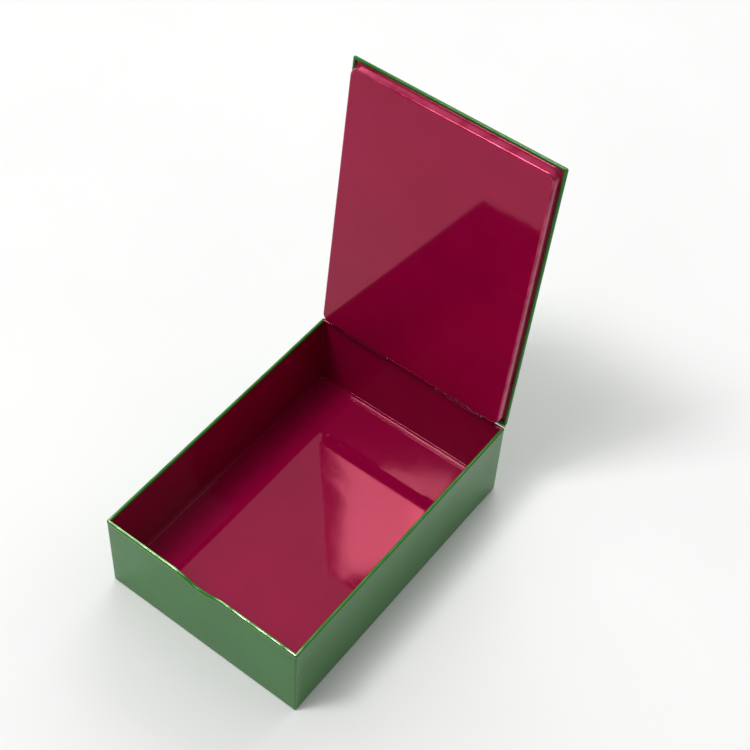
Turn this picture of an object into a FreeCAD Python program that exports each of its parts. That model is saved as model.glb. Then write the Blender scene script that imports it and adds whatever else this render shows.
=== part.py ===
"""A card tin of bent tinplate: body, clinched bottom, flat lid with a plug liner, and a wire hinge.

Frame: X across the front, Y from the front to the hinge, Z up, in millimetres. The origin is the
middle of the base, on the surface the tin stands on. The lid is drawn shut, about the hinge
wire's own axis, and its Placement swings it open against its stop.
"""
import FreeCAD, Part
import math
import os
import types

import Sketcher

DRIVING_SIZES = (
    ("case_width", 98.0, "across the rim"),
    ("case_length", 140.0, "front to back across the rim"),
    ("case_height", 43.5, "base to the top of the rim"),
    ("plate", 0.3, "tinplate thickness"),
    ("corner_bend", 0.8, "outside radius of the upright corners"),
    ("rim_curl", 0.75, "outside radius of the rim's inward curl"),
    ("rim_bulge", 0.12, "how far the curl stands out from the wall"),
    ("rim_curl_end", 110.0, "angle past the front tangent where the curl's edge stops"),
    ("mitre_slit", 0.12, "gap between two curls that meet at a corner"),
    ("dip_half_width", 14.0, "half the finger dip in the front rim"),
    ("dip_depth", 2.4, "depth of the finger dip"),
    ("dip_apron", 1.0, "strip of wall bent together with the dipped curl"),
    ("foot_curl", 1.1, "outside radius of the curl the tin stands on"),
    ("foot_land", 0.5, "flat of that curl"),
    ("foot_curl_end", 75.0, "angle where the foot curl's edge stops"),
    ("seam_gap", 0.03, "clearance between two clinched sheets"),
    ("bottom_bend", 1.1, "outside radius round the edge of the bottom plate"),
    ("bottom_corner", 1.5, "plan radius at the corners of the bottom plate"),
    ("step_drop", 0.35, "how far the step lets the floor down"),
    ("foot_notch", 3.0, "length of each clinched strip cut away at a corner"),
    ("clinch_end", 10.0, "angle where the bottom plate's clinched edge stops"),
    ("wire_radius", 0.55, "hinge wire"),
    ("wire_inset", 0.3, "wire end to the side of the tin"),
    ("wire_chamfer", 0.1, "cropped edge of the wire"),
    ("wire_grip", 0.01, "clearance of the wire in the body's knuckles"),
    ("wire_running", 0.05, "clearance of the wire in the lid's knuckles"),
    ("body_knuckle_end", 110.0, "angle past the front tangent where a body knuckle stops"),
    ("lid_knuckle_end", 170.0, "angle past the rear tangent where a lid knuckle stops"),
    ("middle_knuckle", 26.0, "length of the body's middle knuckle"),
    ("end_knuckle", 7.0, "length of each outer body knuckle"),
    ("hinge_inset", 5.0, "outer knuckle to the side of the tin"),
    ("knuckle_gap", 0.5, "gap between neighbouring knuckles"),
    ("hinge_notch", 0.6, "clearance from the body's knuckles to the lid's cut edge"),
    ("hem_curl", 0.75, "outside radius of the curl round the lid"),
    ("lid_corner", 0.9, "plan radius at the corners of the lid"),
    ("lid_seat", 0.05, "gap between the shut lid and the rim"),
    ("lid_rear_inset", 0.3, "rear of the lid to the rear of the rim"),
    ("plug_clearance", 0.6, "gap between the plug and the curls it passes"),
    ("plug_depth", 3.9, "how far the plug stands below the lid's curl"),
    ("plug_corner", 3.7, "plan radius at the corners of the plug"),
    ("plug_bend", 0.9, "outside radius round the face of the plug"),
    ("root_bend", 0.3, "radius where the plug's side meets its flange"),
    ("open_angle", 95.4, "swing from shut to the open stop, in degrees"),
    ("tool_reach", 1.0, "how far a cut runs past what it trims"),
)

# Two places closer than this are the same place.
SAME_PLACE = 1e-6


class Size:
    """A length, or a sum of lengths, that knows its number and its expression in the sheet."""

    def __init__(self, number, text):
        self.number = number
        self.text = text

    @staticmethod
    def of(value):
        return value if isinstance(value, Size) else Size(float(value), repr(float(value)))

    def joined(self, sign, other, number):
        return Size(number, f"({self.text} {sign} {other.text})")

    def __add__(self, other):
        other = Size.of(other)
        return self.joined("+", other, self.number + other.number)

    def __sub__(self, other):
        other = Size.of(other)
        return self.joined("-", other, self.number - other.number)

    def __mul__(self, other):
        other = Size.of(other)
        return self.joined("*", other, self.number * other.number)

    def __truediv__(self, other):
        other = Size.of(other)
        return self.joined("/", other, self.number / other.number)

    def __radd__(self, other):
        return Size.of(other) + self

    def __rmul__(self, other):
        return Size.of(other) * self

    def __neg__(self):
        return Size(-self.number, f"(-1 * {self.text})")


def root(size):
    return Size(math.sqrt(size.number), f"sqrt({size.text})")


def larger(first, second):
    number = max(first.number, second.number)
    return Size(number, f"max({first.text}; {second.text})")


def arc_cosine(ratio):
    """The angle in degrees whose cosine is the ratio of two lengths."""
    return math.degrees(math.acos(ratio.number))


def arc_sine(ratio):
    return math.degrees(math.asin(ratio.number))


class Bend:
    """An arc of an outline: its centre, radius, and the angles in degrees it runs between."""

    def __init__(self, x, y, radius, start, end):
        self.centre = (Size.of(x), Size.of(y))
        self.radius = Size.of(radius)
        self.start = start
        self.end = end

    def at(self, angle):
        turn = math.radians(angle)
        across = self.centre[0].number + self.radius.number * math.cos(turn)
        up = self.centre[1].number + self.radius.number * math.sin(turn)
        return FreeCAD.Vector(across, up, 0)

    def first(self):
        return self.at(self.start)

    def last(self):
        return self.at(self.end)

    def draw(self, sketch):
        arc = Part.Arc(self.first(), self.at((self.start + self.end) / 2), self.last())
        index = sketch.addGeometry(arc)
        pin_point(sketch, index, 3, self.centre)
        bind(sketch, Sketcher.Constraint("Radius", index, self.radius.number), self.radius)


class Corner:
    """A sharp point of an outline."""

    def __init__(self, x, y):
        self.place = (Size.of(x), Size.of(y))

    def first(self):
        return FreeCAD.Vector(self.place[0].number, self.place[1].number, 0)

    def last(self):
        return self.first()

    def draw(self, sketch):
        """Nothing: the straight lines on either side meet here."""


def bind(sketch, constraint, size):
    index = sketch.addConstraint(constraint)
    sketch.setExpression(f"Constraints[{index}]", size.text)


def pin_point(sketch, index, end, place):
    """Tie one point of a sketch to the origin, along both of its axes."""
    for kind, size in zip(("DistanceX", "DistanceY"), place):
        if abs(size.number) < SAME_PLACE:
            other_axis = -2 if kind == "DistanceX" else -1
            sketch.addConstraint(Sketcher.Constraint("PointOnObject", index, end, other_axis))
        elif size.number > 0:
            pin = Sketcher.Constraint(kind, -1, 1, index, end, size.number)
            bind(sketch, pin, size)
        else:
            pin = Sketcher.Constraint(kind, index, end, -1, 1, -size.number)
            bind(sketch, pin, -size)


def blank_sketch(body, name, plane):
    sketch = body.newObject("Sketcher::SketchObject", name)
    origin_plane = [item for item in body.Origin.OriginFeatures if item.Role == plane][0]
    sketch.AttachmentSupport = (origin_plane, [""])
    sketch.MapMode = "FlatFace"
    return sketch


def add_sketch(body, name, plane, outlines, offset=0.0, closed=True):
    """A sketch on one of the body's planes, each outline drawn as bends joined by straight lines."""
    sketch = blank_sketch(body, name, plane)
    offset = Size.of(offset)
    sketch.AttachmentOffset = FreeCAD.Placement(
        FreeCAD.Vector(0, 0, offset.number), FreeCAD.Rotation()
    )
    sketch.setExpression("AttachmentOffset.Base.z", offset.text)
    for outline in outlines:
        draw_outline(sketch, outline, closed)
    return sketch


def draw_outline(sketch, outline, closed):
    following = outline[1:] + outline[:1] if closed else outline[1:]
    for item in outline:
        item.draw(sketch)
    for here, after in zip(outline, following):
        start = here.last()
        end = after.first()
        if (end - start).Length < SAME_PLACE:
            continue
        index = sketch.addGeometry(Part.LineSegment(start, end))
        if isinstance(here, Corner):
            pin_point(sketch, index, 1, here.place)
        if isinstance(after, Corner):
            pin_point(sketch, index, 2, after.place)


def pad(body, name, sketch, length, symmetric=False, reverse=False):
    return extruded(body, "PartDesign::Pad", name, sketch, length, symmetric, reverse)


def pocket(body, name, sketch, length, symmetric=False, reverse=False):
    before = body.Tip.Shape.Volume
    feature = extruded(body, "PartDesign::Pocket", name, sketch, length, symmetric, reverse)
    if not feature.Shape.Volume < before:
        raise ValueError(f"{name} cuts nothing")
    return feature


def extruded(body, kind, name, sketch, length, symmetric, reverse):
    feature = body.newObject(kind, name)
    feature.Profile = sketch
    feature.SideType = "Symmetric" if symmetric else "One side"
    feature.Reversed = reverse
    feature.Length = Size.of(length).number
    feature.setExpression("Length", Size.of(length).text)
    body.Document.recompute()
    return feature


def pipe(body, name, section, path, mitred=False):
    feature = body.newObject("PartDesign::AdditivePipe", name)
    feature.Profile = section
    feature.Spine = (path, [f"Edge{i + 1}" for i in range(len(path.Shape.Edges))])
    feature.Transition = "Right corner" if mitred else "Transformed"
    body.Document.recompute()
    return feature


def fillet(body, name, base, wanted, radius):
    """Round the edges of the feature that the test picks."""
    edges = [f"Edge{i + 1}" for i, edge in enumerate(base.Shape.Edges) if wanted(edge)]
    feature = body.newObject("PartDesign::Fillet", name)
    feature.Base = (base, edges)
    feature.Radius = radius.number
    feature.setExpression("Radius", radius.text)
    body.Document.recompute()
    return feature


def lies_at(item, height):
    """Whether a flat face or edge lies level at the height."""
    box = item.BoundBox
    return box.ZLength < SAME_PLACE and abs(box.ZMin - height.number) < SAME_PLACE


def hollow(body, name, base, open_height, wall):
    """Shell the feature inwards, leaving open its flat face at the given height."""
    faces = [
        f"Face{i + 1}" for i, face in enumerate(base.Shape.Faces) if lies_at(face, open_height)
    ]
    feature = body.newObject("PartDesign::Thickness", name)
    feature.Base = (base, faces)
    feature.Value = wall.number
    feature.setExpression("Value", wall.text)
    feature.Reversed = True
    body.Document.recompute()
    return feature


def rectangle(x_low, x_high, y_low, y_high, radius=None):
    """A rectangle's outline, counter-clockwise, with square or rounded corners."""
    turns = ((x_low, y_low, 1, 1), (x_high, y_low, -1, 1), (x_high, y_high, -1, -1))
    turns += ((x_low, y_high, 1, -1),)
    if radius is None:
        return [Corner(x, y) for x, y, _, _ in turns]
    return [
        Bend(x + radius * inward_x, y + radius * inward_y, radius, 180 + 90 * i, 270 + 90 * i)
        for i, (x, y, inward_x, inward_y) in enumerate(turns)
    ]


def mirrored_angle(angle, across, along):
    angle = angle if across > 0 else 180 - angle
    return angle if along > 0 else -angle


def corner_trims(x_edge, y_low, y_high, radius, reach):
    """What lies outside a rounded corner, for each of the four corners of a rectangle."""
    trims = []
    for across in (1, -1):
        for along, y_edge in ((1, y_high), (-1, y_low)):
            x = (x_edge - radius) * across
            y = y_edge - radius * along
            start = mirrored_angle(90, across, along)
            end = mirrored_angle(0, across, along)
            x_out = (x_edge + reach) * across
            y_out = y_edge + reach * along
            corners = [Corner(x_out, y), Corner(x_out, y_out), Corner(x, y_out)]
            trims.append([Bend(x, y, radius, start, end)] + corners)
    return trims


def mitre_slits(x_edge, y_low, y_high, depth, width, reach):
    """Thin cuts on the diagonals of a rectangle, from outside each corner in to the depth."""
    half = width / (2 * math.sqrt(2))
    slits = []
    for across in (1, -1):
        for along, y_edge in ((1, y_high), (-1, y_low)):
            outer_x = (x_edge + reach) * across
            outer_y = y_edge + reach * along
            inner_x = (x_edge - depth) * across
            inner_y = y_edge - depth * along
            slits.append(
                [
                    Corner(outer_x + half * across, outer_y - half * along),
                    Corner(outer_x - half * across, outer_y + half * along),
                    Corner(inner_x - half * across, inner_y + half * along),
                    Corner(inner_x + half * across, inner_y - half * along),
                ]
            )
    return slits


def make_sheet(document):
    """Write the driving sizes to a spreadsheet and give each one back as a Size."""
    sheet = document.addObject("Spreadsheet::Sheet", "Sizes")
    for row, (name, number, note) in enumerate(DRIVING_SIZES, start=1):
        sheet.set(f"A{row}", name)
        sheet.set(f"B{row}", str(number))
        sheet.set(f"C{row}", note)
        sheet.setAlias(f"B{row}", name)
    document.recompute()
    return {name: Size(float(sheet.get(name)), f"Sizes.{name}") for name, _, _ in DRIVING_SIZES}


def derived_sizes(driving):
    """The places that two or more pieces share, worked out once from the driving sizes."""
    s = types.SimpleNamespace(**driving)
    s.half_width = s.case_width / 2
    s.half_length = s.case_length / 2
    s.rim_reach = 2 * s.rim_curl
    s.rim_centre = s.case_height - s.rim_curl
    s.crease_drop = root(s.rim_bulge * (2 * s.rim_curl - s.rim_bulge))
    s.crease = s.rim_centre - s.crease_drop
    s.wall_x = s.half_width - s.rim_bulge
    s.wall_y = s.half_length - s.rim_bulge
    s.inner_x = s.wall_x - s.plate
    s.inner_y = s.wall_y - s.plate
    s.floor = 2 * s.foot_curl + s.seam_gap + s.plate
    s.step_inset = 2 * s.foot_curl + s.foot_land + s.seam_gap
    s.grip_radius = s.wire_radius + s.wire_grip
    s.running_radius = s.wire_radius + s.wire_running
    s.body_knuckle_radius = s.grip_radius + s.plate
    s.lid_knuckle_radius = s.running_radius + s.plate
    s.axis_behind = s.grip_radius - s.rim_bulge
    s.axis_y = s.half_length + s.axis_behind
    s.lid_top = s.lid_knuckle_radius
    s.axis_z = s.case_height + s.lid_seat + 2 * s.hem_curl - s.lid_top
    s.hinge_end = s.half_width - s.hinge_inset
    s.end_knuckle_start = s.hinge_end - s.end_knuckle
    s.lid_knuckle_start = s.middle_knuckle / 2 + s.knuckle_gap
    s.lid_knuckle_stop = s.end_knuckle_start - s.knuckle_gap
    s.lid_front = -(s.case_length + s.axis_behind)
    s.lid_rear = -(s.axis_behind + s.lid_rear_inset)
    s.lid_cut = -(s.body_knuckle_radius + s.hinge_notch)
    s.flange_top = s.lid_top - s.plate
    s.flange_under = s.flange_top - s.plate
    s.hem_under = s.lid_top - 2 * s.hem_curl
    s.plug_face = s.hem_under - s.plug_depth
    s.plug_inset = 2 * larger(s.rim_curl, s.hem_curl) + s.plug_clearance
    return s


def rim_bends(s, centre, inward):
    """The outer and inner bends of the rim's curl, which springs from the wall at a crease.

    The centre is at rim height; inward is +1 or -1, the way the curl turns along the sketch's
    first axis.
    """
    outer_start = 180 + arc_cosine((s.rim_curl - s.rim_bulge) / s.rim_curl)
    inner_radius = s.rim_curl - s.plate
    inner_start = 180 + arc_cosine((inner_radius - s.rim_bulge) / inner_radius)
    angles = [outer_start, -s.rim_curl_end.number, inner_start]
    if inward < 0:
        angles = [180 - angle for angle in angles]
    return [
        Bend(centre, s.rim_centre, s.rim_curl, angles[0], angles[1]),
        Bend(centre, s.rim_centre, inner_radius, angles[1], angles[2]),
    ]


def body_section(s):
    """The bent sheet of one side wall, from the curled foot up to the curled rim."""
    land_x = s.wall_x - s.foot_curl - s.foot_land
    foot_x = s.wall_x - s.foot_curl
    inside = s.foot_curl - s.plate
    tip = 180 - s.foot_curl_end.number
    return [
        Bend(land_x, s.foot_curl, s.foot_curl, tip, 270),
        Bend(foot_x, s.foot_curl, s.foot_curl, 270, 360),
        *rim_bends(s, s.half_width - s.rim_curl, -1),
        Bend(foot_x, s.foot_curl, inside, 360, 270),
        Bend(land_x, s.foot_curl, inside, 270, tip),
    ]


def make_body_shell(document, s):
    body = document.addObject("PartDesign::Body", "body_shell")
    route = [Corner(s.half_width, -s.half_length), Corner(s.half_width, s.half_length)]
    route += [Corner(-s.half_width, s.half_length), Corner(-s.half_width, -s.half_length)]
    path = add_sketch(body, "wall_path", "XY_Plane", [route])
    section = add_sketch(body, "wall_section", "XZ_Plane", [body_section(s)])
    document.recompute()
    pipe(body, "walls", section, path, mitred=True)
    fill_inner_corners(body, s)
    trim_body_corners(body, s)
    dip_front_rim(body, s)
    for index, (start, length) in enumerate(body_knuckles(s)):
        add_body_knuckle(body, s, index, start, length)
    return body


def fill_inner_corners(body, s):
    """Round the inside of the upright corners, between the foot and the rim's curl."""
    inside = s.corner_bend - s.plate
    fills = []
    for across in (1, -1):
        for along in (1, -1):
            x = (s.wall_x - s.corner_bend) * across
            y = (s.wall_y - s.corner_bend) * along
            x_wall = (s.inner_x + s.plate / 2) * across
            y_wall = (s.inner_y + s.plate / 2) * along
            start = mirrored_angle(90, across, along)
            end = mirrored_angle(0, across, along)
            corners = [Corner(x_wall, y), Corner(x_wall, y_wall), Corner(x, y_wall)]
            fills.append([Bend(x, y, inside, start, end)] + corners)
    sketch = add_sketch(body, "corner_fills", "XY_Plane", fills, s.foot_curl)
    pad(body, "inner_corners", sketch, s.case_height - s.rim_reach - s.foot_curl)


def trim_body_corners(body, s):
    """Round the outside of the corners, then slit the curls where two of them meet."""
    reach = s.tool_reach
    walls = corner_trims(s.wall_x, -s.wall_y, s.wall_y, s.corner_bend, reach)
    sketch = add_sketch(body, "wall_trims", "XY_Plane", walls, s.crease)
    pocket(body, "wall_corners", sketch, s.crease + reach)
    rim_radius = s.corner_bend + s.rim_bulge
    rims = corner_trims(s.half_width, -s.half_length, s.half_length, rim_radius, reach)
    sketch = add_sketch(body, "rim_trims", "XY_Plane", rims, s.case_height + reach)
    pocket(body, "rim_corners", sketch, s.case_height + reach - s.crease)
    slits = mitre_slits(
        s.half_width, -s.half_length, s.half_length, s.rim_reach + reach, s.mitre_slit, reach
    )
    sketch = add_sketch(body, "rim_slits", "XY_Plane", slits, s.case_height + reach)
    pocket(body, "rim_mitres", sketch, s.case_height + reach - s.crease)


def dip_path(s, below):
    """The finger dip as three tangent arcs, a distance below the centre line of the curl."""
    spread = s.dip_half_width * s.dip_half_width + s.dip_depth * s.dip_depth
    radius = spread / (4 * s.dip_depth)
    swing = arc_sine(s.dip_half_width / (2 * radius))
    shoulder = s.rim_centre - radius
    valley = s.rim_centre - s.dip_depth + radius
    return [
        Bend(-s.dip_half_width, shoulder, radius - below, 90, 90 - swing),
        Bend(0, valley, radius + below, 270 - swing, 270 + swing),
        Bend(s.dip_half_width, shoulder, radius - below, 90 + swing, 90),
    ]


def dip_front_rim(body, s):
    """Take the straight rim out of the middle of the front and sweep one in along the dip."""
    reach = s.tool_reach
    top = s.case_height + reach
    cut = dip_path(s, s.crease_drop + s.dip_apron / 2)
    cut += [Corner(s.dip_half_width, top), Corner(-s.dip_half_width, top)]
    sketch = add_sketch(body, "dip_cut", "XZ_Plane", [cut], s.half_length + reach)
    pocket(body, "dip", sketch, s.rim_reach + 2 * reach)
    path = add_sketch(
        body, "dip_path", "XZ_Plane", [dip_path(s, 0)], s.half_length - s.rim_curl, closed=False
    )
    foot = s.crease - s.dip_apron
    strip = [Corner(-s.wall_y, foot)]
    strip += rim_bends(s, s.rim_curl - s.half_length, 1)
    strip += [Corner(-s.inner_y, foot)]
    section = add_sketch(body, "dip_section", "YZ_Plane", [strip], -s.dip_half_width)
    body.Document.recompute()
    pipe(body, "dipped_rim", section, path)


def body_knuckles(s):
    """Where each knuckle of the body starts along X, and its length."""
    return (
        (-s.middle_knuckle / 2, s.middle_knuckle),
        (s.end_knuckle_start, s.end_knuckle),
        (-s.hinge_end, s.end_knuckle),
    )


def add_body_knuckle(body, s, index, start, length):
    """Cut the rear rim away and carry the wall up and back round the hinge wire instead."""
    reach = s.tool_reach
    margin = s.knuckle_gap / 2
    low = s.case_height - s.rim_reach - margin
    window = rectangle(
        s.half_length - s.rim_reach - reach, s.half_length + reach, low, s.case_height + reach
    )
    sketch = add_sketch(body, f"rim_gap_{index}", "YZ_Plane", [window], start - margin)
    pocket(body, f"rim_gap_cut_{index}", sketch, length + 2 * margin, reverse=True)
    foot = low - s.dip_apron / 2
    end = -s.body_knuckle_end.number
    strip = [
        Corner(s.inner_y, foot),
        Bend(s.axis_y, s.axis_z, s.body_knuckle_radius, 180, end),
        Bend(s.axis_y, s.axis_z, s.grip_radius, end, 180),
        Corner(s.wall_y, foot),
    ]
    sketch = add_sketch(body, f"knuckle_{index}", "YZ_Plane", [strip], start)
    pad(body, f"body_knuckle_{index}", sketch, length)


def make_bottom_plate(document, s):
    """A shallow tray set in from below, its edge clinched inside the body's foot curl."""
    body = document.addObject("PartDesign::Body", "bottom_plate")
    x = s.inner_x - s.seam_gap
    y = s.inner_y - s.seam_gap
    plan = rectangle(-x, x, -y, y, s.bottom_corner)
    sketch = add_sketch(body, "plan", "XY_Plane", [plan], s.foot_curl)
    block = pad(body, "block", sketch, s.floor - s.foot_curl)
    rounded = fillet(body, "edge_bend", block, lambda edge: lies_at(edge, s.floor), s.bottom_bend)
    hollow(body, "tray", rounded, s.foot_curl, s.plate)
    press_step(body, s, s.wall_x - s.step_inset, s.wall_y - s.step_inset)
    for across in (1, -1):
        add_clinch(body, s, "XZ_Plane", across, s.wall_x, s.case_length - 2 * s.foot_notch)
        add_clinch(body, s, "YZ_Plane", across, s.wall_y, s.case_width - 2 * s.foot_notch)
    return body


def press_step(body, s, x, y):
    """Let the plate down inside the foot curl by a small step, which stiffens it."""
    under = rectangle(-x, x, -y, y, s.bottom_corner)
    level = s.floor - s.plate - s.step_drop
    sketch = add_sketch(body, "step_under", "XY_Plane", [under], level)
    pad(body, "lowered_floor", sketch, s.step_drop + s.plate / 2)
    x_top = x - s.plate
    y_top = y - s.plate
    over = rectangle(-x_top, x_top, -y_top, y_top, s.bottom_corner - s.plate)
    sketch = add_sketch(body, "step_top", "XY_Plane", [over], s.floor)
    pocket(body, "step", sketch, s.step_drop)


def add_clinch(body, s, plane, side, wall, length):
    """One straight strip of the plate's edge, bent in and up inside the foot curl."""
    outside = s.foot_curl - s.plate - s.seam_gap
    inside = outside - s.plate
    corner = wall - s.foot_curl
    land = corner - s.foot_land
    lip = s.foot_curl + s.plate
    tip = s.clinch_end.number - 180
    turned = [mirrored_angle(angle, side, 1) for angle in (0, -90, tip)]
    strip = [
        Corner((corner + outside) * side, lip),
        Bend(corner * side, s.foot_curl, outside, turned[0], turned[1]),
        Bend(land * side, s.foot_curl, outside, turned[1], turned[2]),
        Bend(land * side, s.foot_curl, inside, turned[2], turned[1]),
        Bend(corner * side, s.foot_curl, inside, turned[1], turned[0]),
        Corner((corner + inside) * side, lip),
    ]
    sketch = add_sketch(body, "clinch_section", plane, [strip])
    pad(body, "clinch", sketch, length, symmetric=True)


def make_hinge_wire(document, s):
    body = document.addObject("PartDesign::Body", "hinge_wire")
    sketch = blank_sketch(body, "wire_section", "YZ_Plane")
    centre = FreeCAD.Vector(s.axis_y.number, s.axis_z.number, 0)
    up = FreeCAD.Vector(0, 0, 1)
    circle = sketch.addGeometry(Part.Circle(centre, up, s.wire_radius.number))
    pin_point(sketch, circle, 3, (s.axis_y, s.axis_z))
    bind(sketch, Sketcher.Constraint("Radius", circle, s.wire_radius.number), s.wire_radius)
    length = s.case_width - 2 * s.wire_inset
    wire = pad(body, "wire", sketch, length, symmetric=True)
    chamfer = body.newObject("PartDesign::Chamfer", "cropped_ends")
    rings = [
        f"Edge{i + 1}"
        for i, edge in enumerate(wire.Shape.Edges)
        if edge.BoundBox.XLength < SAME_PLACE
    ]
    chamfer.Base = (wire, rings)
    chamfer.Size = s.wire_chamfer.number
    chamfer.setExpression("Size", s.wire_chamfer.text)
    document.recompute()
    return body


def hang_on_axis(body, s):
    """Put a piece of the lid, drawn shut about the origin, on the hinge axis and swing it open."""
    body.Placement = FreeCAD.Placement(
        FreeCAD.Vector(0, s.axis_y.number, s.axis_z.number),
        FreeCAD.Rotation(FreeCAD.Vector(1, 0, 0), -s.open_angle.number),
    )
    body.setExpression("Placement.Base.y", s.axis_y.text)
    body.setExpression("Placement.Base.z", s.axis_z.text)
    body.setExpression("Placement.Rotation.Angle", s.open_angle.text)
    body.setExpression("Placement.Rotation.Axis.x", "-1")


def make_lid_cover(document, s):
    """The flat lid: a panel curled under round its edge, and round the wire at the back."""
    body = document.addObject("PartDesign::Body", "lid_cover")
    x = s.half_width - s.hem_curl
    front = s.lid_front + s.hem_curl
    rear = s.lid_rear - s.hem_curl
    panel = add_sketch(
        body, "panel_plan", "XY_Plane", [rectangle(-x, x, front, rear)], s.flange_top
    )
    pad(body, "panel", panel, s.plate)
    route = [Corner(x, front), Corner(x, rear), Corner(-x, rear), Corner(-x, front)]
    path = add_sketch(body, "hem_path", "XY_Plane", [route])
    height = s.lid_top - s.hem_curl
    end = -180 - arc_sine((s.flange_under - s.seam_gap - height) / s.hem_curl)
    curl = [
        Bend(x, height, s.hem_curl, 90, end),
        Bend(x, height, s.hem_curl - s.plate, end, 90),
    ]
    section = add_sketch(body, "hem_section", "XZ_Plane", [curl], s.half_length)
    document.recompute()
    pipe(body, "hem", section, path, mitred=True)
    trim_lid_corners(body, s)
    cut_hinge_notches(body, s)
    for index, side in enumerate((1, -1)):
        add_lid_knuckle(body, s, index, side)
    hang_on_axis(body, s)
    return body


def trim_lid_corners(body, s):
    reach = s.tool_reach
    corners = corner_trims(s.half_width, s.lid_front, s.lid_rear, s.lid_corner, reach)
    sketch = add_sketch(body, "lid_trims", "XY_Plane", corners, s.lid_top + reach)
    pocket(body, "lid_corners", sketch, 2 * s.hem_curl + 2 * reach)
    slits = mitre_slits(
        s.half_width, s.lid_front, s.lid_rear, 2 * s.hem_curl + reach, s.mitre_slit, reach
    )
    sketch = add_sketch(body, "hem_slits", "XY_Plane", slits, s.flange_top)
    pocket(body, "hem_mitres", sketch, 2 * s.hem_curl)


def cut_hinge_notches(body, s):
    """Take the rear hem away between its ends, leaving the panel's raw edge clear of the hinge."""
    reach = s.tool_reach
    half = s.hinge_end + s.knuckle_gap
    hem = rectangle(-half, half, s.lid_rear - 2 * s.hem_curl - s.seam_gap, s.lid_rear + reach)
    sketch = add_sketch(body, "rear_hem", "XY_Plane", [hem], s.flange_top)
    pocket(body, "rear_hem_cut", sketch, 2 * s.hem_curl)
    edge = rectangle(-half, half, s.lid_cut, s.lid_rear + reach)
    sketch = add_sketch(body, "rear_edge", "XY_Plane", [edge], s.lid_top + reach)
    pocket(body, "rear_edge_cut", sketch, s.plate + 2 * reach)


def add_lid_knuckle(body, s, index, side):
    """Carry the panel back and down round the wire."""
    root_y = s.lid_cut - s.hinge_notch
    end = -s.lid_knuckle_end.number
    strip = [
        Corner(root_y, s.lid_top),
        Bend(0, 0, s.lid_knuckle_radius, 90, end),
        Bend(0, 0, s.running_radius, end, 90),
        Corner(root_y, s.flange_top),
    ]
    start = s.lid_knuckle_start if side > 0 else -s.lid_knuckle_stop
    sketch = add_sketch(body, f"lid_knuckle_section_{index}", "YZ_Plane", [strip], start)
    pad(body, f"lid_knuckle_{index}", sketch, s.lid_knuckle_stop - s.lid_knuckle_start)


def make_lid_liner(document, s):
    """The plug: a shallow drawn tray with a flange held between the panel and its hem."""
    body = document.addObject("PartDesign::Body", "lid_liner")
    x = s.half_width - s.plug_inset
    front = s.lid_front + s.plug_inset
    rear = -(s.axis_behind + s.plug_inset)
    plan = rectangle(-x, x, front, rear, s.plug_corner)
    sketch = add_sketch(body, "plug_plan", "XY_Plane", [plan], s.plug_face)
    block = pad(body, "plug_block", sketch, s.flange_top - s.plug_face)
    rounded = fillet(
        body, "face_bend", block, lambda edge: lies_at(edge, s.plug_face), s.plug_bend
    )
    hollow(body, "plug", rounded, s.flange_top, s.plate)
    add_flange(body, s, x, front, rear)
    hang_on_axis(body, s)
    return body


def add_flange(body, s, x, front, rear):
    """The flat rim of the plug, let in under the hem on three sides, with its root rounded."""
    wall = s.plate / 2
    hole = rectangle(-(x - wall), x - wall, front + wall, rear - wall, s.plug_corner - wall)
    reach_x = s.half_width - s.hem_curl - s.seam_gap
    reach_front = s.lid_front + s.hem_curl + s.seam_gap
    reach_rear = s.lid_rear - s.hem_curl - s.seam_gap
    edge = rectangle(-reach_x, reach_x, reach_front, reach_rear)
    sketch = add_sketch(body, "flange_plan", "XY_Plane", [edge, hole], s.flange_under)
    flange = pad(body, "flange", sketch, s.plate)

    def at_root(edge):
        box = edge.BoundBox
        within_sides = max(-box.XMin, box.XMax) < x.number + SAME_PLACE
        within_ends = box.YMin > front.number - SAME_PLACE and box.YMax < rear.number + SAME_PLACE
        return lies_at(edge, s.flange_under) and within_sides and within_ends

    fillet(body, "flange_root", flange, at_root, s.root_bend)


def check_and_export(document, pieces):
    """Refuse a failed feature or a bad shape, then write each piece to its own file."""
    for item in document.Objects:
        if {"Invalid", "Error"} & set(item.State):
            raise ValueError(f"{item.Name} did not compute")
    os.makedirs("parts", exist_ok=True)
    for piece in pieces:
        piece.Label = piece.Name
        if piece.Shape.isNull() or not piece.Shape.isValid():
            raise ValueError(f"{piece.Label} has no valid shape")
        piece.Shape.exportStep(f"parts/{piece.Label}.step")
        print(piece.Label, len(piece.Shape.Solids), round(piece.Shape.Volume, 3))


def main():
    document = FreeCAD.newDocument("card_tin")
    s = derived_sizes(make_sheet(document))
    makers = (make_body_shell, make_bottom_plate, make_hinge_wire, make_lid_cover, make_lid_liner)
    pieces = [maker(document, s) for maker in makers]
    document.recompute()
    check_and_export(document, pieces)


main()
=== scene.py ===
"""A card tin of lacquered tinplate, green outside and crimson inside, dressed over its CAD frame.

Each sheet is a profile swept round a ring in numpy, drawn in millimetres and written to its mesh
in metres. The lid's sheets are drawn shut, about the hinge wire's own axis, and swung open there.
"""
import logging
import math
from abc import ABC, abstractmethod
from dataclasses import dataclass, field
from enum import Enum, IntEnum
from typing import ClassVar

import bmesh
import bpy
import numpy as np
from mathutils import Matrix, Vector


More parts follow.
